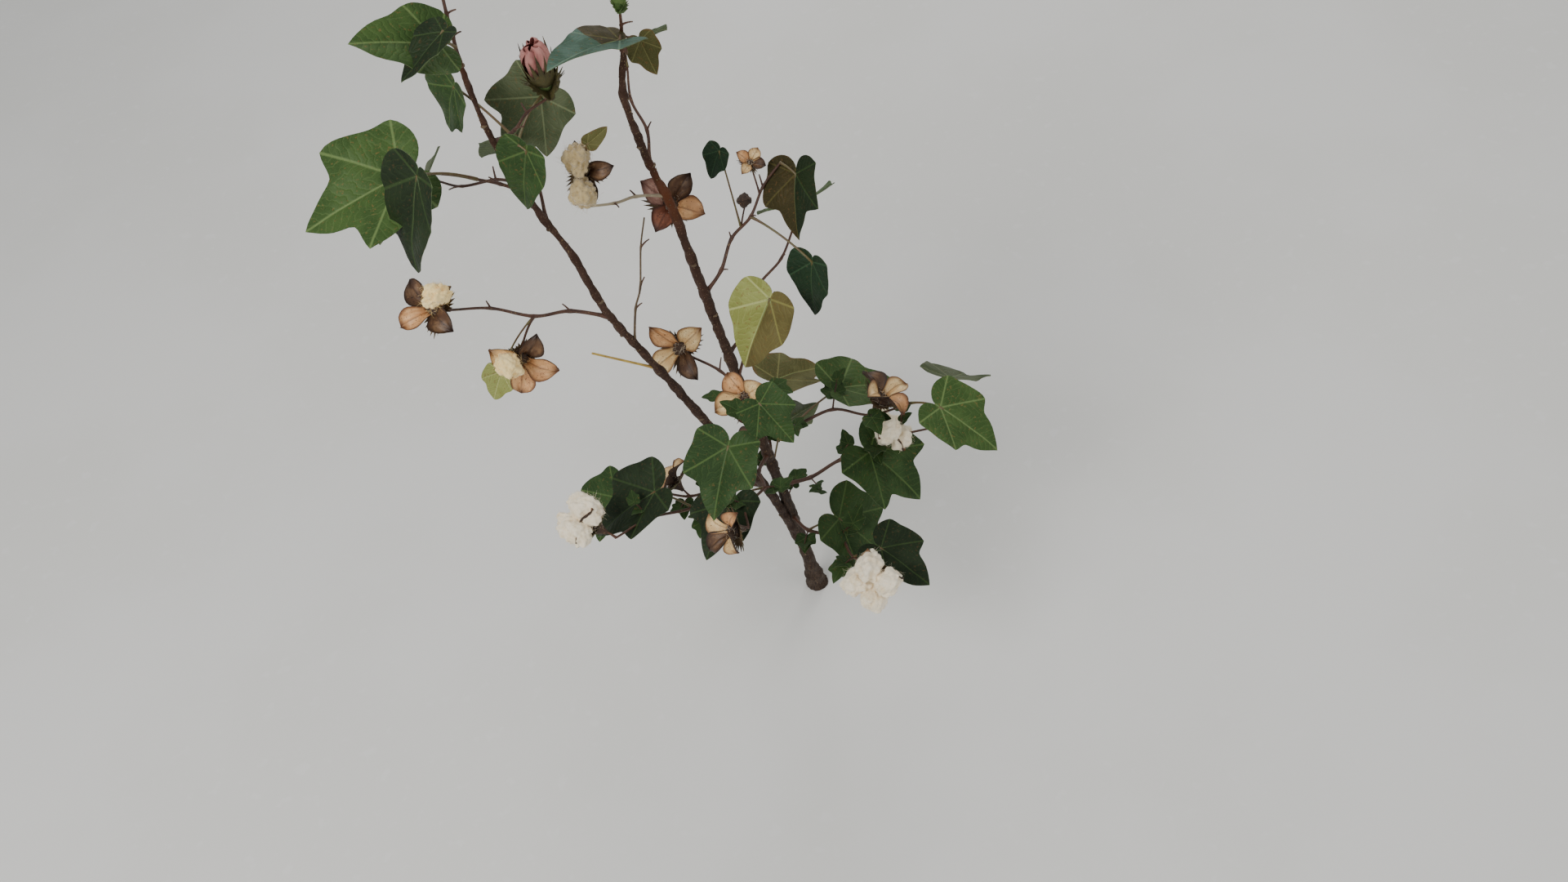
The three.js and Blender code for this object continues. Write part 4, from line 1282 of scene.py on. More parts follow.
def stalk_shape(organ):
    way = pointing(organ["heading"], organ["rise"])
    is_leaf = organ["kind"] == "leaf"
    end = organ["joint"] if is_leaf else organ["place"]
    size = organ["length"] if is_leaf else organ["size"]
    into = end + way * (STALK_SUNK * size if is_leaf else FRUIT_SUNK)
    points = [*bowed(organ["root"], end, STALK_STEPS), into]
    thin = STALK_RADIUS * (SMALL_STALK if size < SMALL_ORGAN else 1.0)
    first, last = STALK_SWELL_STEPS
    radii = []
    for i in range(len(points)):
        ends = math.exp(-((i / first) ** 2)) + math.exp(-(((STALK_STEPS - i) / last) ** 2))
        taper = mixed(*STALK_TAPER, i / len(points))
        radii.append(thin * (1 + STALK_SWELL * ends) * taper)
    radii[-1] *= STALK_END
    return tube(points, radii, STALK_SIDES)


stalks = {"leaf": Heap(), "red": Heap()}
for organ in organs:
    stalks["leaf" if organ["kind"] == "leaf" else "red"].add(stalk_shape(organ), organ["spray"])
make_piece("leaf_stalks", stalks["leaf"], STALKS["leaf"], slot="stem")
make_piece("fruit_stalks", stalks["red"], STALKS["red"], slot="stem")

# %% [markdown]
# ## The outline of a blade
# A cotton leaf can have three or five pointed lobes or be almost a plain oval. Both are kept as
# one short table each: the angle from the main vein and how far the edge is from the stalk there.
# A leaf mixes the two by how lobed it is. Between the rows the edge is a smooth curve, except at
# the tips of the lobes, where it comes to a point.
# %% Blade outlines
LOBED_HALF = (
    (0, 1), (14, 0.8), (27, 0.66), (46, 0.87), (80, 0.58), (108, 0.62), (144, 0.42), (180, 0.09),
)
PLAIN_HALF = (
    (0, 1), (14, 0.8), (29, 0.61), (52, 0.46), (83, 0.38), (112, 0.3), (146, 0.17), (180, 0.07),
)
BRACT_HALF = ((0, 1), (30, 0.72), (70, 0.42), (180, 0.16))
LOBE_TIPS = (3, 5)
BLADE_STEPS = (4, 3, 5, 7, 5, 5, 5)
BRACT_STEPS = (6, 7, 4)
TOOTH = 0.68
TOOTHED_TO = 80
POINTED_FROM = 0.25


def between_rows(rows, at, pointed=()):
    """A smooth value between the rows of a table, with a corner at each pointed row."""
    k = max(i for i in range(len(rows) - 1) if rows[i][0] <= at)
    (left, low), (right, high) = rows[k], rows[k + 1]
    step = right - left

    def slope(i):
        if i in (0, len(rows) - 1) or i in pointed:
            return high - low
        return step * (rows[i + 1][1] - rows[i - 1][1]) / (rows[i + 1][0] - rows[i - 1][0])

    t = (at - left) / step
    bend = 3 * (high - low) - 2 * slope(k) - slope(k + 1)
    return low + slope(k) * t + bend * t * t + (2 * (low - high) + slope(k) + slope(k + 1)) * t**3


def whole_outline(half):
    """The outline on both sides of the midrib, from one side of it."""
    return half + [(-angle, reach) for angle, reach in half[-2:0:-1]]


def leaf_outline(lobing):
    table = [(row[0], mixed(PLAIN_HALF[i][1], row[1], lobing)) for i, row in enumerate(LOBED_HALF)]
    pointed = LOBE_TIPS if lobing > POINTED_FROM else ()
    half = []
    for k, steps in enumerate(BLADE_STEPS):
        for s in range(steps):
            angle = mixed(table[k][0], table[k + 1][0], s / steps)
            half.append((angle, between_rows(table, angle, pointed)))
    return whole_outline([*half, table[-1]])


def bract_outline():
    """A broad bract whose edge is cut into long teeth round its tip."""
    half = []
    for k, steps in enumerate(BRACT_STEPS):
        for s in range(steps):
            angle = mixed(BRACT_HALF[k][0], BRACT_HALF[k + 1][0], s / steps)
            notched = len(half) % 2 and angle < TOOTHED_TO
            half.append((angle, between_rows(BRACT_HALF, angle) * (TOOTH if notched else 1)))
    return whole_outline([*half, BRACT_HALF[-1]])


print(len(leaf_outline(1)), "points round a leaf and", len(bract_outline()), "round a bract")

# %% [markdown]
# ## The blade itself
# A blade is folded a little along its main vein, droops towards its tip, ripples at its edge and
# is puffed up between its veins. All of that is one height over the flat place, so the veins,
# which are laid on afterwards as slim ridges, can ask for the same height and lie in the blade.
# %% Blades
LEAF_SHAPE = {"fold": 0.2, "droop": 0.16, "ripple": 0.045, "sway": 0.05, "pucker": 0.016}
BRACT_SHAPE = {"fold": 0.3, "droop": -0.25, "ripple": 0.03, "sway": 0.08, "pucker": 0.0}
CUPPED_SHAPE = {"fold": 0.35, "droop": -0.5, "ripple": 0.03, "sway": 0.1, "pucker": 0.0}
CLASPING_SHAPE = {"fold": 0.5, "droop": -0.7, "ripple": 0.03, "sway": 0.06, "pucker": 0.0}
RIPPLES = (5, 13)
SWAY_SCALE = 2.3
SWAY_SEED = 0.7
PAD = 0.07
CREASE = 0.03
HEART = 0.25
LEAF_THICK = 0.00035
BRACT_THICK = 0.0004


def vein_distance(x, y):
    """How far a flat place is from the nearest main vein, as a share of the blade's length."""
    ways = ((math.cos(math.radians(a)), math.sin(math.radians(a))) for a in VEIN_ANGLES)
    return min(abs(abs(y) * way[0] - x * way[1]) for way in ways)


def blade_height(x, y, shape, seed):
    reach, angle = math.hypot(x, y), math.atan2(y, x)
    fold = shape["fold"] * (math.hypot(y, CREASE) - CREASE)
    ripple = shape["ripple"] * reach**2 * math.sin(RIPPLES[0] * angle)
    ripple += 0.5 * shape["ripple"] * reach**3 * math.sin(RIPPLES[1] * angle + seed)
    spot = Vector((SWAY_SCALE * x, SWAY_SCALE * y, SWAY_SEED * seed))
    sway = shape["sway"] * reach * noise.noise(spot)
    pucker = shape["pucker"] * min(vein_distance(x, y) / PAD, 1) if shape["pucker"] else 0
    return fold - shape["droop"] * x * abs(x) + ripple + sway + pucker


def blade(outline, rings, frame_of, length, thickness, shape, seed):
    """A blade in its own frame, with X along the main vein and Z out of its upper face."""
    upper, lower, marks = [], [], []
    for r in range(rings + 1):
        ring = r / rings
        top, bottom = [], []
        for degrees, reach in outline:
            x = HEART * (1 - ring) + ring * reach * math.cos(math.radians(degrees))
            y = ring * reach * math.sin(math.radians(degrees))
            z = blade_height(x, y, shape, seed) * length
            for row, side in ((top, 1), (bottom, -1)):
                row.append(frame_of @ Vector((x * length, y * length, z + side * thickness / 2)))
            marks.append((x, y, ring))
        upper.append(top)
        lower.append(bottom)
    return plate(upper, lower, marks, closed=True)


sunk = -blade_height(1, 0, LEAF_SHAPE, 1) * 60
print("a blade's tip sinks", round(sunk, 1), "mm on a 60 mm leaf")

# %% [markdown]
# The main veins stand out on the underside of a real leaf and lie sunk in the upper one, so they
# are slim tubes along the blade, thickest at the stalk.
# %% Main veins
VEIN_REACH = 0.92
VEIN_STEPS = 8
VEIN_SIDES = 5
MIDRIB_THICK = 0.009
VEIN_THICK = 0.0065
VEIN_TIP = 0.25


def main_veins(outline, frame_of, length, shape, seed):
    """The slim ridges of the main veins, as tubes that show on both faces."""
    ridges = []
    for degrees in (0, *(side * angle for angle in VEIN_ANGLES[1:] for side in (1, -1))):
        reach = min(outline, key=lambda row: abs(row[0] - degrees))[1] * VEIN_REACH
        points = []
        for i in range(VEIN_STEPS + 1):
            along = reach * i / VEIN_STEPS
            x, y = along * math.cos(math.radians(degrees)), along * math.sin(math.radians(degrees))
            points.append(frame_of @ (Vector((x, y, blade_height(x, y, shape, seed))) * length))
        thick = length * (VEIN_THICK if degrees else MIDRIB_THICK)
        shares = [i / VEIN_STEPS for i in range(VEIN_STEPS + 1)]
        radii = [mixed(thick, thick * VEIN_TIP, share) for share in shares]
        ridges.append(tube(points, radii, VEIN_SIDES))
    return ridges


print("a leaf has", len(main_veins(leaf_outline(1), Matrix(), 1, LEAF_SHAPE, 1)), "main veins")

# %% [markdown]
# ## All the leaves
# The leaves of each limb become one mesh that carries every tone as a finish of its own. Where a
# leaf is folded, its far half turns another way to the sky and can wear a second tone, which paints
# light or shade on that half: painted light where it is lighter, painted shade where it is darker.
# The larger leaves get more rings of faces than the small ones.
# %% Leaves
TONE_NAMES = list(LEAF_TONES)
PALE_TONES = ("light", "grey", "blue", "bright", "olive", "gold")
UNDER, PALE_VEIN, DARK_VEIN = (len(TONE_NAMES) + i for i in range(3))
LARGE_LEAF = 0.04
LEAF_RINGS = {"small": 9, "large": 13}
LEAF_SET = [*LEAF_FINISHES.values(), UNDERSIDE, VEIN_RIDGES["pale"], VEIN_RIDGES["dark"]]


def leaf_frame(organ):
    way = pointing(organ["heading"], organ["rise"])
    return frame_at(organ["joint"], way, organ.get("face", SUN), organ.get("roll", 0))


def halves_in_painted_light(shape, near, far, columns, start, share):
    """A blade whose upper face has one tone over a share of the way round and another past it. The
    two tones are painted light and painted shade on the two halves of a folded leaf.
    """
    corners, faces, finishes, marks = shape
    dealt = []
    for i, finish in enumerate(finishes):
        half = near if (i % columns / columns - start) % 1 < share else far
        dealt.append(TONE_NAMES.index(half) if finish == 0 else UNDER)
    return corners, faces, dealt, marks


def add_leaf(heap, organ):
    outline = leaf_outline(organ.get("lobing", 1))
    length, seed, tone = organ["length"], organ["seed"], organ["tone"]
    rings = LEAF_RINGS["large" if length > LARGE_LEAF else "small"]
    own = leaf_frame(organ)
    shape = blade(outline, rings, own, length, LEAF_THICK, LEAF_SHAPE, seed)
    # A folded leaf's far half wears its second tone: painted light where that half is lighter,
    # painted shade where it is darker.
    dealt = halves_in_painted_light(shape, tone, organ.get("far", tone), len(outline), *organ.get("split", (0, 0.5)))
    heap.add(dealt, organ["spray"])
    for ridge in main_veins(outline, own, length, LEAF_SHAPE, seed):
        heap.add(ridge, finish=PALE_VEIN if tone in PALE_TONES else DARK_VEIN)


for limb in (TRUNK, BOUGH):
    heap = Heap()
    for spray in plant:
        for organ in spray["organs"]:
            if spray["limb"] is limb and organ["kind"] == "leaf":
                add_leaf(heap, organ)
    make_piece("leaves_" + limb["name"], heap, *LEAF_SET)

# %% [markdown]
# ## Finer twigs
# Short side shoots fill the spray out on the real plant: a bare stub where an early fruit has
# dropped, or a shoot with a couple of young leaves. Each grows on from a joint of its twig by the
# same turning rule, from a stream of its own, so that the larger leaves keep their places. The
# sprays with every leaf and fruit written out get stubs alone, and stay open to the light.
# %% Side shoots
STUB = (0.006, 0.012)
SHOOT = (0.016, 0.026)
SHOOT_RADIUS = 0.0006
SHOOT_TAPER = (1.4, 0.6)
SHOOT_STEPS = 5
SHOOT_SIDES = 6
SHOOT_JOINTS = (0.55, 1)
SHOOT_SEED = 100
SHOOT_TURN = (35, 70)
SHOOT_RISE = (15, 60)
YOUNG_LEAF = (0.011, 0.019)
YOUNG_TURN = (-80, 80)
YOUNG_RISE = (-10, 45)
YOUNG_LOBING = (0.2, 0.8)
YOUNG_RINGS = 5
BORNE = {row[0]: row[-1] for row in SPRAYS}


def side_shoots(spray):
    """The shoots of one spray, as pairs of a tube and the young leaves that it bears."""
    random = seeded(spray["seed"] + SHOOT_SEED)
    leafy = any(isinstance(entry, str) for entry in BORNE[spray["name"]])
    shoots = []
    for i in range(1, len(spray["line"]) - 1):
        point, before = spray["line"][i], spray["line"][i - 1]
        along = point - before
        turn = (-1 if i % 2 else 1) * draw(random, *SHOOT_TURN)
        heading = math.degrees(math.atan2(along.y, along.x)) + turn
        way = pointing(heading, draw(random, *SHOOT_RISE))
        length = draw(random, *(SHOOT if leafy else STUB))
        tip = point + way * length
        line = bowed(point, tip, SHOOT_STEPS)
        young = []
        for share in SHOOT_JOINTS if leafy else ():
            base = point.lerp(tip, share)
            size = draw(random, *YOUNG_LEAF)
            turned = heading + draw(random, *YOUNG_TURN)
            facing = frame_at(base, pointing(turned, draw(random, *YOUNG_RISE)), UP)
            young.append((facing, size, draw(random, *YOUNG_LOBING)))
        thick, lost = SHOOT_TAPER
        radii = [SHOOT_RADIUS * (thick - lost * k / SHOOT_STEPS) for k in range(len(line))]
        shoots.append((tube(line, radii, SHOOT_SIDES), young))
    return shoots


def make_shoots():
    stems, young_leaves = Heap(), Heap()
    for spray in plant:
        for stem, young in side_shoots(spray):
            stems.add(stem, spray["name"])
            for i, (own, size, lobing) in enumerate(young):
                outline, rule = leaf_outline(lobing), (LEAF_THICK, LEAF_SHAPE, spray["seed"] + i)
                young_leaves.add(blade(outline, YOUNG_RINGS, own, size, *rule), spray["name"])
    make_piece("side_shoots", stems, STALKS["red"], slot="stem")
    make_piece("young_leaves", young_leaves, LEAF_FINISHES["green"], UNDERSIDE)


make_shoots()

# %% [markdown]
# ## Round bodies
# A bud, a dried boll and the cup under a fruit are all bodies of turning, cut by grooves between
# their parts and a little twisted. Each has a short profile of heights and radii, which the same
# smooth curve runs through as on the blades.
# %% Round bodies
CUP = ((-0.16, 0.035), (-0.07, 0.07), (0.02, 0.13), (0.09, 0.15), (0.12, 0.11))
ROUND_WRINKLES = (4, 6)
POD = ((-0.1, 0.08), (0.05, 0.3), (0.4, 0.38), (0.75, 0.24), (1, 0.04))


def grooved(angle, grooves, depth):
    return 1 - depth * (0.5 - 0.5 * math.cos(grooves * angle)) ** 2


def round_body(
    frame_of, size, profile, grooves=0, depth=0.0, twist=0.0, rows=10, sides=20, wrinkle=0.0
):
    """A grooved body of turning. Its wrinkles are a share of its radius."""
    corners, marks = [], []
    around, up = ROUND_WRINKLES
    for r in range(rows + 1):
        height = mixed(profile[0][0], profile[-1][0], r / rows)
        for k in range(sides):
            angle = 2 * math.pi * k / sides
            reach = between_rows(profile, height) * grooved(angle, grooves, depth)
            turned = angle + twist * r / rows
            x, y = math.cos(turned), math.sin(turned)
            reach *= 1 + wrinkle * noise.noise(Vector((around * x, around * y, up * height)))
            corners.append(frame_of @ Vector((x * reach * size, y * reach * size, height * size)))
            marks.append((x, y, height * 0.5))
    faces = [tuple(range(sides))[::-1], tuple(range(rows * sides, (rows + 1) * sides))]
    for r in range(rows):
        for k in range(sides):
            a, b = r * sides + k, r * sides + (k + 1) % sides
            faces.append((a, b, b + sides, a + sides))
    return corners, outward(corners, faces), [0] * len(faces), marks


def fruit_frame(organ):
    axis = pointing(organ["heading"], organ["rise"])
    flat = ALONG_X if abs(axis.z) > 0.95 else UP
    return frame_at(organ["place"], axis.cross(flat).cross(axis), axis)


print("round bodies go through", len(POD), "rows of a profile")

# %% [markdown]
# ## The valves of a bur
# When a boll is ripe its husk splits into four woody valves that curl outwards like a dry flower,
# dark outside and pale inside, with the stump of a partition down the middle of each. A valve is
# a boat-shaped plate on an arc: narrow at its root, widest past the middle, and drawn to a hard
# point.
# %% Valves
VALVE_WIDTHS = ((0, 0.1), (1 / 3, 0.2), (0.58, 0.36), (0.8, 0.25), (0.93, 0.08), (1, 0.008))
VALVE_LEAN = (12, 118)
VALVE_DRAWS = {
    "start": (-4, 8),
    "end": (-26, 12),
    "width": (0.82, 1.08),
    "skew": (-0.1, 0.1),
    "curl": (0.88, 1),
    "turn": (-9, 9),
}
VALVE_ROOT = 0.06
VALVE_HOLLOW = 0.3
VALVE_BOAT = (1.5, 0.7)
VALVE_THICK = 0.0011
VALVE_TIP = 0.6
VALVE_ROWS = 15
VALVE_COLUMNS = 10
PARTITION = 0.035
PARTITION_WIDTH = 0.13
CRUMPLE = 0.05


def valve(frame_of, size, angle, seed):
    """One valve. No two open alike, so its lean, its turn and its width are drawn."""
    random = seeded(seed * 11 + round(angle))
    drawn = {name: draw(random, *ends) for name, ends in VALVE_DRAWS.items()}
    start = math.radians(VALVE_LEAN[0] + drawn["start"])
    end = math.radians(VALVE_LEAN[1] + drawn["end"])
    curl = (0.5 - VALVE_ROOT) * size / (math.cos(start) - math.cos(end)) * drawn["curl"]
    turned = frame_of @ Matrix.Rotation(math.radians(angle + drawn["turn"]), 4, "Z")
    inner, outer, marks = [], [], []
    for r in range(VALVE_ROWS + 1):
        share = r / VALVE_ROWS
        lean = mixed(start, end, share)
        width = between_rows(VALVE_WIDTHS, share) * size * drawn["width"]
        out = VALVE_ROOT * size + curl * (math.cos(start) - math.cos(lean))
        height = curl * (math.sin(lean) - math.sin(start))
        inward = Vector((-math.cos(lean), 0, math.sin(lean)))
        rows = ([], [])
        for c in range(VALVE_COLUMNS + 1):
            across = 2 * c / VALVE_COLUMNS - 1
            spot = Vector((1.7 * across, 3 * share, seed + angle))
            crumple = CRUMPLE * size * noise.noise(spot)
            boat = mixed(*VALVE_BOAT, share)
            hollow = VALVE_HOLLOW * width * across**2 * boat + crumple * share
            stump = math.exp(-((across / PARTITION_WIDTH) ** 2))
            ridge = PARTITION * size * stump * (1 - share) ** 0.5
            aside = 0.5 * width * across + drawn["skew"] * size * share**2
            place = Vector((out, aside, height)) + inward * hollow
            thick = VALVE_THICK * mixed(1, VALVE_TIP, share)
            rows[0].append(turned @ (place + inward * (thick / 2 + ridge)))
            rows[1].append(turned @ (place - inward * thick / 2))
            marks.append((across, 0.1 * seed, 0.8 * share))
        inner.append(rows[0])
        outer.append(rows[1])
    return plate(inner, outer, marks, closed=False)


print("a valve has", VALVE_ROWS * VALVE_COLUMNS, "squares on each face")

# %% [markdown]
# Under each bur its three toothed bracts are still there, dry and spread wide. A ring of them is
# the same blade as a leaf with another outline, so buds and the flower can use it as well.
# %% Bracts and burs
BRACT_RINGS = 7


def bract_ring(frame_of, size, count, turn, lean, seed, shape=BRACT_SHAPE):
    """Toothed bracts that lean out from the base of a bud, a flower or a fruit."""
    ring = []
    for i in range(count):
        own = frame_of @ frame_at(Vector(), pointing(turn + 360 * i / count, lean), UP)
        outline = bract_outline()
        ring.append(blade(outline, BRACT_RINGS, own, size, BRACT_THICK, shape, seed + i))
    return ring


DRY_BRACT = {"size": 0.42, "count": 3, "turn": 20, "lean": 4}
ALL_ARMS = (0, 90, 180, 270)
LINING_NAMES = list(LININGS)
USUAL_LININGS = (
    ("cream", "tan", "cream", "dark"),
    ("tan", "cream", "dark", "cream"),
    ("cream", "cream", "tan", "tan"),
)


def lined(shape, name):
    """A valve with its inner face in one of the linings and the husk on its other faces."""
    corners, faces, finishes, marks = shape
    dealt = [LINING_NAMES.index(name) if finish == 0 else len(LINING_NAMES) for finish in finishes]
    return corners, faces, dealt, marks


def make_burs():
    valves, cups, bracts = Heap(), Heap(), Heap()
    for organ in organs:
        if organ["kind"] not in ("bur", "boll"):
            continue
        own, size, seed, turn = fruit_frame(organ), organ["size"], organ["seed"], organ["turn"]
        linings = organ.get("linings", USUAL_LININGS[seed % len(USUAL_LININGS)])
        for arm, name in zip(organ.get("arms", ALL_ARMS), linings):
            valves.add(lined(valve(own, size, arm + turn, seed), name), organ["spray"])
        cups.add(round_body(own, size, CUP, grooves=4, depth=0.12, wrinkle=0.1), organ["spray"])
        around = (DRY_BRACT["count"], turn + DRY_BRACT["turn"], DRY_BRACT["lean"], seed)
        for shape in bract_ring(own, DRY_BRACT["size"] * size, *around):
            bracts.add(shape, organ["spray"])
    make_piece("bur_valves", valves, *LINING_FINISHES, HUSK)
    make_piece("bur_cups", cups, HUSK)
    make_piece("bur_bracts", bracts, BRACTS["dry"], BRACTS["olive"])


make_burs()

# %% [markdown]
# ## Lint
# Each part of an open boll holds a lock of lint, a soft clump that has fluffed out and sags over
# its valve. One clump is modelled from a sphere, swollen unevenly at three scales. Its corners
# are then placed once for each lock, turned and stretched anew, so no two locks look the same.
# %% Lint
LOCK_PLACE = (0.25, 0.34)
LOCK_SIZE = (0.23, 0.19, 0.27)
TUFT_SHARE = 0.8
FIBRES_PER_LOCK = 330
WISPS_PER_BUR = 40
FIBRE_RADIUS = 0.00008
FIBRE_STEPS = 6
FIBRE_LENGTH = (0.005, 0.009)
FIBRE_SUNK = 0.0004
FIBRE_BEND = 0.45
FIBRE_HOLD = 0.35
FIBRE_TAPER = 0.12
FIBRE_LIFT = (0.05, 0.5)
WISP_LIFT = 0.5
WISP_RISE = (10, 80)
WISP_OUT = (0.14, 0.24)
LINT_RELIEFS = {
    "lint_folds": {"scale": 0.9, "strength": 0.7},
    "lint_tufts": {"scale": 0.45, "strength": 0.34},
    "lint_wisps": {"scale": 0.16, "strength": 0.07},
}


def lock_prototype():
    """The corners and faces of one clump of lint, about two metres wide."""
    bpy.ops.object.select_all(action="DESELECT")
    bpy.ops.mesh.primitive_ico_sphere_add(subdivisions=5, radius=1, location=(0, 0, 0))
    clump = bpy.context.object
    for name, relief in LINT_RELIEFS.items():
        roughen(clump, name, relief)
    corners = [vertex.co.copy() for vertex in clump.data.vertices]
    faces = [tuple(face.vertices) for face in clump.data.polygons]
    bpy.data.objects.remove(clump)
    return corners, faces


LOCK_CORNERS, LOCK_FACES = lock_prototype()
print("a lock has", len(LOCK_FACES), "faces")

# %% [markdown]
# Loose fibres make the outline of a lock soft. They leave its skin nearly flat against it and
# curl back to it, because a fibre that stands straight out looks like a thorn. A boll has a lock
# over each valve, and an old bur only the tufts that were left in it.
# %% Fibres and where locks sit
def fibre(start, out, lift, random):
    """One curled fibre that leaves a lock's skin and runs on close over it."""
    bend = Vector([draw(random, -1, 1) for _ in range(3)])
    way = (bend.cross(out) + out * lift).normalized()
    step = draw(random, *FIBRE_LENGTH) / FIBRE_STEPS
    points = [start - out * FIBRE_SUNK]
    for _ in range(FIBRE_STEPS):
        points.append(points[-1] + way * step)
        way = (way + bend * FIBRE_BEND - out * FIBRE_HOLD).normalized()
    radii = [FIBRE_RADIUS * (1 - FIBRE_TAPER * i) for i in range(FIBRE_STEPS + 1)]
    return tube(points, radii, 3)


def lock_frames(organ, random):
    """Where the locks of a boll sit, or the smaller tufts that are left in a bur."""
    own, size, turn = fruit_frame(organ), organ["size"], organ["turn"]
    if organ["kind"] == "boll":
        count = organ.get("locks", 4)
        placed = [(turn + 360 * k / count, 1.0) for k in range(count)]
    else:
        arms = organ.get("arms", ALL_ARMS)
        placed = [(turn + arms[k], TUFT_SHARE) for k in organ.get("tufts", ())]
    frames = []
    for degrees, share in placed:
        angle = math.radians(degrees)
        out, height = LOCK_PLACE
        middle = Vector((math.cos(angle) * out, math.sin(angle) * out, height))
        spun = own @ Matrix.Translation(middle * size) @ Matrix.Rotation(angle, 4, "Z")
        spun = spun @ Matrix.Diagonal((*(side * size * share for side in LOCK_SIZE), 1))
        frames.append(spun @ Matrix.Rotation(draw(random, 0, 6), 4, "X"))
    return frames


print("each lock gets", FIBRES_PER_LOCK, "fibres")

# %% [markdown]
# Three kinds of lint hang on this plant: fresh and white on the bolls below, yellow with painted
# warm sunlight on the two burs on the left, and an aged, dull boll in the middle.
# %% Lint on the plant
def make_lint():
    marks = [tuple(corner * 0.5) for corner in LOCK_CORNERS]
    locks, fibres = {name: Heap() for name in LINTS}, {name: Heap() for name in LINTS}
    for organ in organs:
        if organ["kind"] not in ("bur", "boll"):
            continue
        random, age, spray = seeded(organ["seed"]), organ.get("lint", "fresh"), organ["spray"]
        for spun in lock_frames(organ, random):
            placed = [spun @ corner for corner in LOCK_CORNERS]
            shape = (placed, outward(placed, LOCK_FACES), [0] * len(LOCK_FACES), marks)
            locks[age].add(shape, spray)
            for _ in range(FIBRES_PER_LOCK):
                start = placed[int(draw(random, 0, len(placed) - 1))]
                out = (start - spun.translation).normalized()
                lift = draw(random, *FIBRE_LIFT)
                fibres[age].add(fibre(start, out, lift, random), spray)
        own = fruit_frame(organ)
        for _ in range(WISPS_PER_BUR):
            way = pointing(draw(random, 0, 360), draw(random, *WISP_RISE))
            start = own @ (way * organ["size"] * draw(random, *WISP_OUT))
            fibres[age].add(fibre(start, own.to_3x3() @ way, WISP_LIFT, random), spray)
    for name, finish in LINTS.items():
        make_piece("lint_locks_" + name, locks[name], finish)
        make_piece("lint_fibres_" + name, fibres[name], finish)


make_lint()

# %% [markdown]
# ## The furled flower
# A cotton flower lasts a day: white in the morning, pink by the evening, when its five petals furl
# again into a twisted roll. Each petal is a sheet wrapped part way round, one edge inside its
# neighbour and the other outside, with a ruffled top. A ring of toothed bracts cups it.
# %% The flower
COROLLA = ((-0.05, 0.02), (0.15, 0.11), (0.45, 0.19), (0.7, 0.215), (0.9, 0.16), (0.97, 0.1))
PETALS = 5
PETAL_SPAN = math.radians(128)
PETAL_TWIST = 1.5
PETAL_LAP = (0.8, 1.06)
PETAL_NARROWED = 0.9
PETAL_NOTCH = 0.09
RUFFLE = 0.05
RUFFLES = 9
PETAL_SWAY = 0.02
PETAL_THICK = 0.0005
PETAL_ROWS = 20
PETAL_COLUMNS = 20
FLOWER_BRACTS = {"size": 0.86, "count": 3, "turn": 34, "lean": 42, "seed": 7}
BRACT_DROP = 0.08


def petal(frame_of, size, start, seed):
    inner, outer, marks = [], [], []
    for r in range(PETAL_ROWS + 1):
        share = r / PETAL_ROWS
        height = mixed(COROLLA[0][0], COROLLA[-1][0], share)
        rows = ([], [])
        for c in range(PETAL_COLUMNS + 1):
            across = c / PETAL_COLUMNS
            span = PETAL_SPAN * across * mixed(PETAL_NARROWED, 1, share)
            angle = start + PETAL_TWIST * share + span
            lapped = between_rows(COROLLA, height) * mixed(*PETAL_LAP, across)
            ruffle = RUFFLE * share**3 * math.sin(RUFFLES * across + seed)
            ruffle += PETAL_SWAY * noise.noise(Vector((3 * across, 4 * share, seed)))
            reach = (lapped + ruffle) * size
            top = height - PETAL_NOTCH * share**2 * (2 * across - 1) ** 2
            for row, side in ((rows[0], -1), (rows[1], 1)):
                out = reach + side * PETAL_THICK / 2
                place = Vector((math.cos(angle) * out, math.sin(angle) * out, top * size))
                row.append(frame_of @ place)
            marks.append((across * 2, 0.3 * seed, share * 0.4))
        inner.append(rows[0])
        outer.append(rows[1])
    return plate(inner, outer, marks, closed=False)


def make_flower():
    petals, cup, bracts = Heap(), Heap(), Heap()
    for organ in organs:
        if organ["kind"] != "flower":
            continue
        own, size, rule = fruit_frame(organ), organ["size"], FLOWER_BRACTS
        for i in range(PETALS):
            petals.add(petal(own, size, 2 * math.pi * i / PETALS, i), organ["spray"])
        cup.add(round_body(own, size, CUP, grooves=5, depth=0.1), organ["spray"])
        base = own @ Matrix.Translation((0, 0, -BRACT_DROP * size))
        around = (rule["count"], rule["turn"], rule["lean"], rule["seed"], CLASPING_SHAPE)
        for shape in bract_ring(base, rule["size"] * size, *around):
            bracts.add(shape, organ["spray"])
    make_piece("flower_petals", petals, PETAL)
    make_piece("flower_cup", cup, BRACTS["green"])
    make_piece("flower_bracts", bracts, BRACTS["olive"])


make_flower()

# %% [markdown]
# ## Buds and the dried boll
# A flower bud of cotton is a green three-sided parcel: three toothed bracts folded round a pale
# core. One boll on the right has dried before it opened, and is dark, grooved and wrinkled.
# %% Buds
BUD_BRACTS = {"size": 1.2, "count": 3, "turn": 30, "lean": 46}
BUD_CORE = {"grooves": 3, "depth": 0.15, "twist": 0.4}
BUD_CORE_SIZE = 0.8
DRIED_CUTS = {"grooves": 4, "depth": 0.22, "twist": 0.25}
DRIED_SKIN = {"rows": 14, "sides": 32, "wrinkle": 0.22}


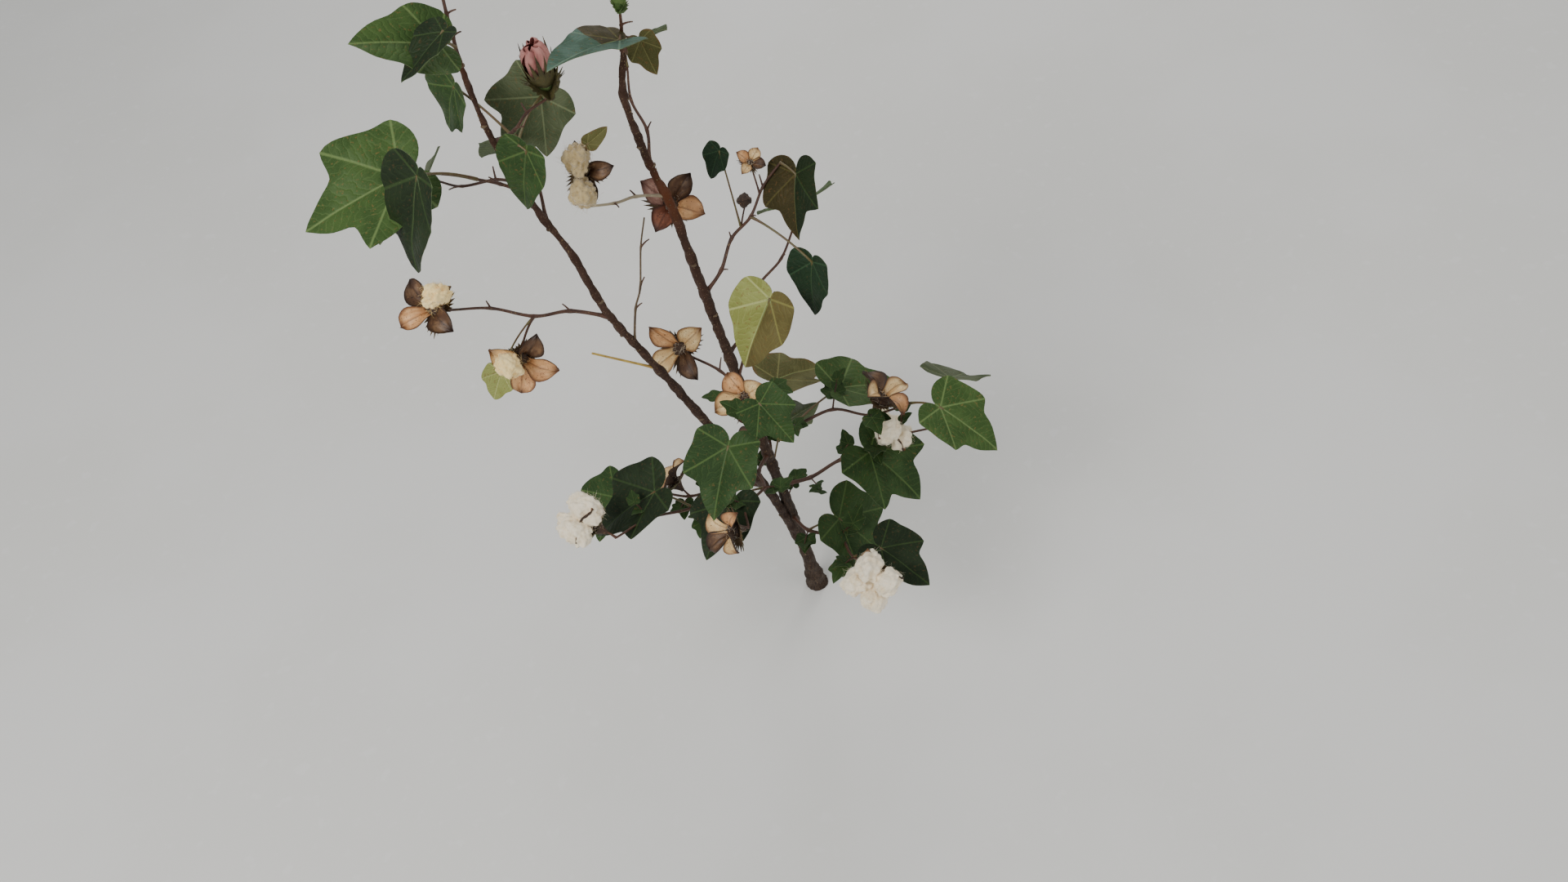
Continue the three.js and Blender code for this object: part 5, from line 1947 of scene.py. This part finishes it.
def make_buds():
    cores, bracts, dried = Heap(), Heap(), Heap()
    for organ in organs:
        if organ["kind"] != "pod":
            continue
        own, size, rule = fruit_frame(organ), organ["size"], BUD_BRACTS
        if organ.get("dry"):
            dried.add(round_body(own, size, POD, **DRIED_CUTS, **DRIED_SKIN), organ["spray"])
            continue
        cores.add(round_body(own, size * BUD_CORE_SIZE, POD, **BUD_CORE), organ["spray"])
        around = (rule["count"], rule["turn"], rule["lean"], organ["seed"], CUPPED_SHAPE)
        for shape in bract_ring(own, rule["size"] * size, *around):
            bracts.add(shape, organ["spray"])
    make_piece("bud_cores", cores, LEAF_FINISHES["light"])
    make_piece("bud_bracts", bracts, BRACTS["green"])
    make_piece("dried_boll", dried, HUSK)


make_buds()

# %% [markdown]
# ## The studio
# A plain pale floor and soft lamps show the plant evenly. The large lamp stands high on the left,
# as the daylight does, a weaker one fills the right, and a third behind picks out the edges of
# leaves.
# %% Floor and lamps
FLOOR_SIZE = 9
FLOOR_DROP = 0.0006
SKY = {"Color": paint(214, 220, 226), "Strength": 0.55}


def make_floor():
    bpy.ops.object.select_all(action="DESELECT")
    bpy.ops.mesh.primitive_plane_add(size=FLOOR_SIZE, location=(0, 0, -FLOOR_DROP))
    floor = bpy.context.object
    floor.name = "studio_floor"
    material, tree, shader = start_finish("studio_floor", 0.9)
    pale, paler = paint(222, 219, 212), paint(226, 223, 217)
    shades = {"Ground": pale, "Blotch": paler, "Fleck": paler}
    skin = use(tree, BLOTCHES, {"Blotches": 3.0, "Flecks": 60.0, **shades})
    feed(tree, shader, Base_Color=skin["Colour"])
    floor.data.materials.append(material)


LAMPS = {
    "key": {"place": (-1.1, -1.0, 1.9), "size": 1.1, "energy": 34},
    "fill": {"place": (1.5, -1.2, 1.1), "size": 1.6, "energy": 12},
    "back": {"place": (0.6, 1.6, 1.7), "size": 1.2, "energy": 18},
}
PLANT_MIDDLE = Vector((-0.04, 0, 0.4))


def make_lamps():
    for name, lamp in LAMPS.items():
        bpy.ops.object.light_add(type="AREA", location=lamp["place"])
        made = bpy.context.object
        made.name = name + "_lamp"
        made.data.size = lamp["size"]
        made.data.energy = lamp["energy"]
        way = PLANT_MIDDLE - Vector(lamp["place"])
        made.rotation_euler = way.to_track_quat("-Z", "Y").to_euler()
    world = bpy.data.worlds.new("studio")
    world.use_nodes = True
    background = world.node_tree.nodes["Background"]
    for name, value in SKY.items():
        background.inputs[name].default_value = value
    bpy.context.scene.world = world
    print(len(LAMPS), "lamps")


make_floor()
make_lamps()

# %% [markdown]
# ## The camera
# The photograph looks steeply down on the plant from in front, a little turned, with the top shoots
# just out of the frame. The camera stands at the same place and looks the same way, through a lens
# of the same width, so the sizes in the two pictures agree.
# %% Camera
CAMERA_PLACE = (0, -0.857, 1.3)
CAMERA_WAY = Vector((0.0022, 0.6245, -0.781)).normalized()
CAMERA_RIGHT = Vector((0.9683, -0.1964, -0.1543)).normalized()
CAMERA_LENS = 36.06


def make_camera():
    camera = bpy.data.cameras.new("camera")
    camera.lens = CAMERA_LENS
    made = bpy.data.objects.new("camera", camera)
    up = CAMERA_RIGHT.cross(CAMERA_WAY)
    turned = Matrix((CAMERA_RIGHT, up, -CAMERA_WAY)).transposed().to_4x4()
    made.matrix_world = Matrix.Translation(CAMERA_PLACE) @ turned
    bpy.context.scene.collection.objects.link(made)
    bpy.context.scene.camera = made
    print("the camera looks down at", round(math.degrees(math.asin(-CAMERA_WAY.z))), "degrees")


make_camera()
